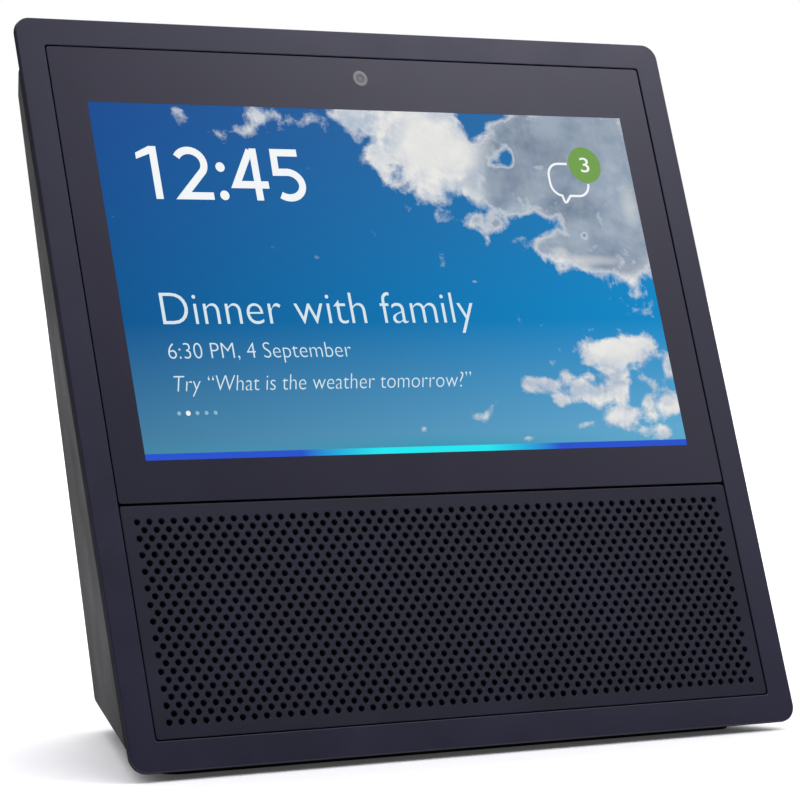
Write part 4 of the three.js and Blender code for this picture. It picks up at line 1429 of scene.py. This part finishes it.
def dish(r):
    """The height of the dish at a radius: a shallow bowl, deepest in its middle."""
    return CAP_TOP - DISH_DEEP * (1 - (r / DISH_R) ** 2)


dish_r = np.linspace(DISH_R, 0, 9)
cap_profile = np.concatenate([
    [[0, CAP_LOW], [POST_R, CAP_LOW], [POST_R, CAP_LOW + POST_TALL], [FLANGE_R, CAP_LOW + POST_TALL],
     [FLANGE_R, FLANGE_TOP], [BUTTON_R, FLANGE_TOP]],
    arc_points(BUTTON_R - CAP_ROUND, CAP_TOP - CAP_ROUND, CAP_ROUND, 0, 90, 6),
    np.stack([dish_r[1:], dish(dish_r[1:])], 1),
])
MARK = 0.42
MARK_HALF = 1.3
MARK_LOW = dish(0) - 0.05
MARK_HIGH = MARK_LOW + 0.2


def mark_bar(half_x, half_y, lift=0.0):
    """A small raised bar on the dish, given by its half sizes."""
    return slab(oblong(half_x, -half_y, half_y), 0.15, MARK_LOW, MARK_HIGH + lift, 0.05, lay=at_height)


def mark_ring(radius):
    """A small raised ring on the dish, as broad as a bar."""
    inner = radius - MARK
    section = ((radius, MARK_LOW), (radius, MARK_HIGH), (inner, MARK_HIGH), (inner, MARK_LOW))
    return skin([
        at_height(outline(oblong(r, -r, r), r - 0.01, 0.0, 8), height) for r, height in section
    ], closed_through=True)


def slanted(shape):
    """A mark after an eighth of a turn."""
    points, faces = shape
    across = (points[:, 0] - points[:, 1]) / math.sqrt(2)
    along = (points[:, 0] + points[:, 1]) / math.sqrt(2)
    return np.stack([across, along, points[:, 2]], 1), faces


marks = {
    "mute": [mark_ring(1.5), slanted(mark_bar(1.9, MARK / 2, 0.02))],
    "volume_down": [mark_bar(MARK_HALF, MARK / 2)],
    "volume_up": [mark_bar(MARK_HALF, MARK / 2), mark_bar(MARK / 2, MARK_HALF, 0.02)],
}
mark_grey = grained("mark_grey", (150, 150, 156), 0.5, size=2400, spread=0.05)
for label, middle in buttons.items():
    node = label + "_button"
    cap_shape = along_slope(cap_profile, middle[0], button_y, 64)
    leaning_piece(node + "_cap", cap_shape, button_satin, body=node, stands_for=[node],
                  slot="button_plastic", crease=35)
    mark_points, mark_faces = joined(*marks[label])
    mark_points = mark_points + [middle[0], button_y, 0]
    leaning_piece(node + "_mark", (mark_points, mark_faces), mark_grey, body=node,
                  slot="button_plastic")

# %% [markdown]
# The foot is one piece of rubber, wide at the front and narrow at the back. A sharp
# rubber edge would tear, so its rims are round. Its underside is hollowed by a third of a
# millimetre inside a border, so it stands on the border and doesn't rock.

# %% Rubber foot
foot_low, foot_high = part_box("rubber_foot")
FOOT_FRONT = foot_low[1] / MM
FOOT_BACK = foot_high[1] / MM
FOOT_FRONT_HALF = foot_high[0] / MM
FOOT_BACK_HALF = 56.0
FOOT_TOP = foot_high[2] / MM
FOOT_CORNER = 5.0
FOOT_ROUND = 0.4
FOOT_BORDER = 4.0
FOOT_HOLLOW = 0.35
foot_corners = [(-FOOT_FRONT_HALF, FOOT_FRONT), (FOOT_FRONT_HALF, FOOT_FRONT),
                (FOOT_BACK_HALF, FOOT_BACK), (-FOOT_BACK_HALF, FOOT_BACK)]
foot_section = [
    (FOOT_BORDER + FOOT_ROUND, FOOT_HOLLOW), (FOOT_BORDER, 0.0), *rounded_rim(FOOT_ROUND, 0.0, FOOT_TOP),
]
foot_points, foot_faces = skin([
    at_height(outline(foot_corners, FOOT_CORNER, inset, 12), height) for inset, height in foot_section
])
piece("foot_pad", mesh_of("foot", standing(foot_points), foot_faces), rubber_dull,
      stands_for=["rubber_foot"], slot="foot_rubber", crease=40)

# %% [markdown]
# Everything inside keeps its CAD shape, which is already right, and gets a proper
# finish. The record says which material slot each node has, so one table from slot to
# finish covers them all. Slots whose pieces were all made again are not in the table.

# %% Finishes of the inner pieces
finishes = {
    "shell_plastic": shell_matte,
    "jack_plastic": socket_gloss,
    "inner_plastic": inner_moulded,
    "foot_rubber": rubber_dull,
    "pressed_steel": tinned_steel,
    "magnet_ferrite": grained("magnet_ferrite", (44, 44, 47), 0.7, metal=0.3, size=1200, depth=0.00006),
    "cone_paper": grained("cone_paper", (30, 30, 33), 0.88, specular=0.15, size=1000, depth=0.00008),
    "copper": grained("copper_wound", (184, 112, 62), 0.32, metal=1.0, size=2400, stretch=(1, 0.08, 1)),
    "board_green": grained("board_mask", (30, 88, 52), 0.4, size=700, spread=0.2, coat=0.4),
    "sink_aluminium": grained("drawn_aluminium", (186, 188, 192), 0.36, metal=1.0, size=2600,
                              stretch=(1, 1, 0.04), spread=0.06),
    "flex_amber": grained("amber_film", (160, 102, 28), 0.38, size=900, spread=0.1, coat=0.3),
    "wire_red": grained("wire_jacket", (140, 32, 32), 0.45, size=1600),
    "screw_steel": grained("black_steel", (86, 88, 92), 0.38, metal=1.0, size=2400, spread=0.08),
}
for part in frame["record"]["subparts"]:
    node = frame["nodes"][part["node"]]
    finish = finishes.get(part["material_slot"])
    if finish:
        node.data.materials.clear()
        node.data.materials.append(finish)
print("finishes:", len(finishes))

# %% [markdown]
# The set is a wide pale floor under a bright, even sky. A dark, smooth object shows what
# is around it, so the sky does most of the work: it is bright overhead and dimmer
# towards the horizon, which shades the leaning plate from light at its top to dark at
# its foot. Three soft lamps add direction: one high in front, a weak one beside it, and
# a wide one behind that lays the soft shadow on the floor. The floor gives off a little
# light that grows with distance, so it meets the white background without a line.

# %% Floor and light
FLOOR_HALF = 60.0
floor_points, floor_faces = skin([
    at_height(outline(oblong(FLOOR_HALF, -FLOOR_HALF, FLOOR_HALF), 20.0, 0.0, 16), height)
    for height in (-0.02, 0.0)
])
floor_mesh = mesh_of("floor", floor_points, floor_faces)
face_out(floor_mesh)
floor = bpy.data.objects.new("floor", floor_mesh)
bpy.context.scene.collection.objects.link(floor)
pale_floor = grained("pale_floor", (246, 246, 246), 0.75, specular=0.1, size=90, spread=0.006,
                     strength=0.05)
floor_nodes = pale_floor.node_tree.nodes
floor_links = pale_floor.node_tree.links
reach = floor_nodes.new("ShaderNodeVectorMath")
reach.operation = "LENGTH"
floor_links.new(place_node(floor_nodes, floor_links), reach.inputs[0])
lift = ranged(floor_nodes, floor_links, reach.outputs["Value"], 0.4, 4.0, 0.05, 0.45)
floor_links.new(lift, floor_nodes["Principled BSDF"].inputs["Emission Strength"])
floor_nodes["Principled BSDF"].inputs["Emission Color"].default_value = (1, 1, 1, 1)
floor.data.materials.append(pale_floor)

world = bpy.data.worlds.new("studio")
bpy.context.scene.world = world
world.use_nodes = True
sky_nodes = world.node_tree.nodes
sky_links = world.node_tree.links
direction = sky_nodes.new("ShaderNodeTexCoord")
parts = sky_nodes.new("ShaderNodeSeparateXYZ")
sky_links.new(direction.outputs["Generated"], parts.inputs["Vector"])
height = ranged(sky_nodes, sky_links, parts.outputs["Z"], 0.45, 1.0, 0.0, 1.0)
sky_tone = blended(sky_nodes, sky_links, height, (0.12, 0.12, 0.135, 1), (2.3, 2.3, 2.4, 1))
seen = sky_nodes.new("ShaderNodeLightPath")
shown = blended(sky_nodes, sky_links, seen.outputs["Is Camera Ray"], sky_tone, (1.0, 1.0, 1.0, 1))
sky_links.new(shown, sky_nodes["Background"].inputs["Color"])
sky_nodes["Background"].inputs["Strength"].default_value = 1.0


def soft_lamp(name, place, target, size, power):
    """A large area lamp that looks from a place at a target."""
    lamp = bpy.data.lights.new(name, "AREA")
    lamp.shape = "DISK"
    lamp.size = size
    lamp.energy = power
    holder = bpy.data.objects.new(name, lamp)
    bpy.context.scene.collection.objects.link(holder)
    holder.location = place
    holder.visible_camera = False
    way = Vector(target) - Vector(place)
    holder.rotation_mode = "QUATERNION"
    holder.rotation_quaternion = way.to_track_quat("-Z", "Y")
    return holder


soft_lamp("lamp_over", (0.57, -0.47, 0.84), (0, 0, 0.14), 0.40, 2.0)
soft_lamp("lamp_side", (0.74, -0.62, 0.55), (0.05, 0, 0.1), 0.3, 0.36)
soft_lamp("lamp_back", (0.5, 1.3, 1.3), (0, 0, 0.08), 1.8, 22)
print("set and lamps ready")

# %% [markdown]
# The camera is a long lens, about four and a half body widths away, level with the
# middle of the screen and a third of a right angle round to the left. A long lens keeps
# the square plate nearly square, as product pictures do.

# %% Camera
AZIMUTH = math.radians(-30.8)
ELEVATION = math.radians(1.901)
DISTANCE = 0.8318
AIM = Vector((0.0, -0.00579, 0.08399))
back = Vector((
    math.sin(AZIMUTH) * math.cos(ELEVATION), -math.cos(AZIMUTH) * math.cos(ELEVATION),
    math.sin(ELEVATION),
))
camera = bpy.data.objects.new("camera", bpy.data.cameras.new("camera"))
bpy.context.scene.collection.objects.link(camera)
camera.data.lens = 150.5
camera.data.sensor_width = 36.0
camera.data.clip_start = 0.05
camera.data.clip_end = 200.0
camera.data.dof.use_dof = False
camera.location = AIM + back * DISTANCE
camera.rotation_mode = "QUATERNION"
camera.rotation_quaternion = (-back).to_track_quat("-Z", "Y")
bpy.context.scene.camera = camera
bpy.context.scene.view_settings.view_transform = "Standard"
print("camera at", tuple(round(value, 4) for value in camera.location))
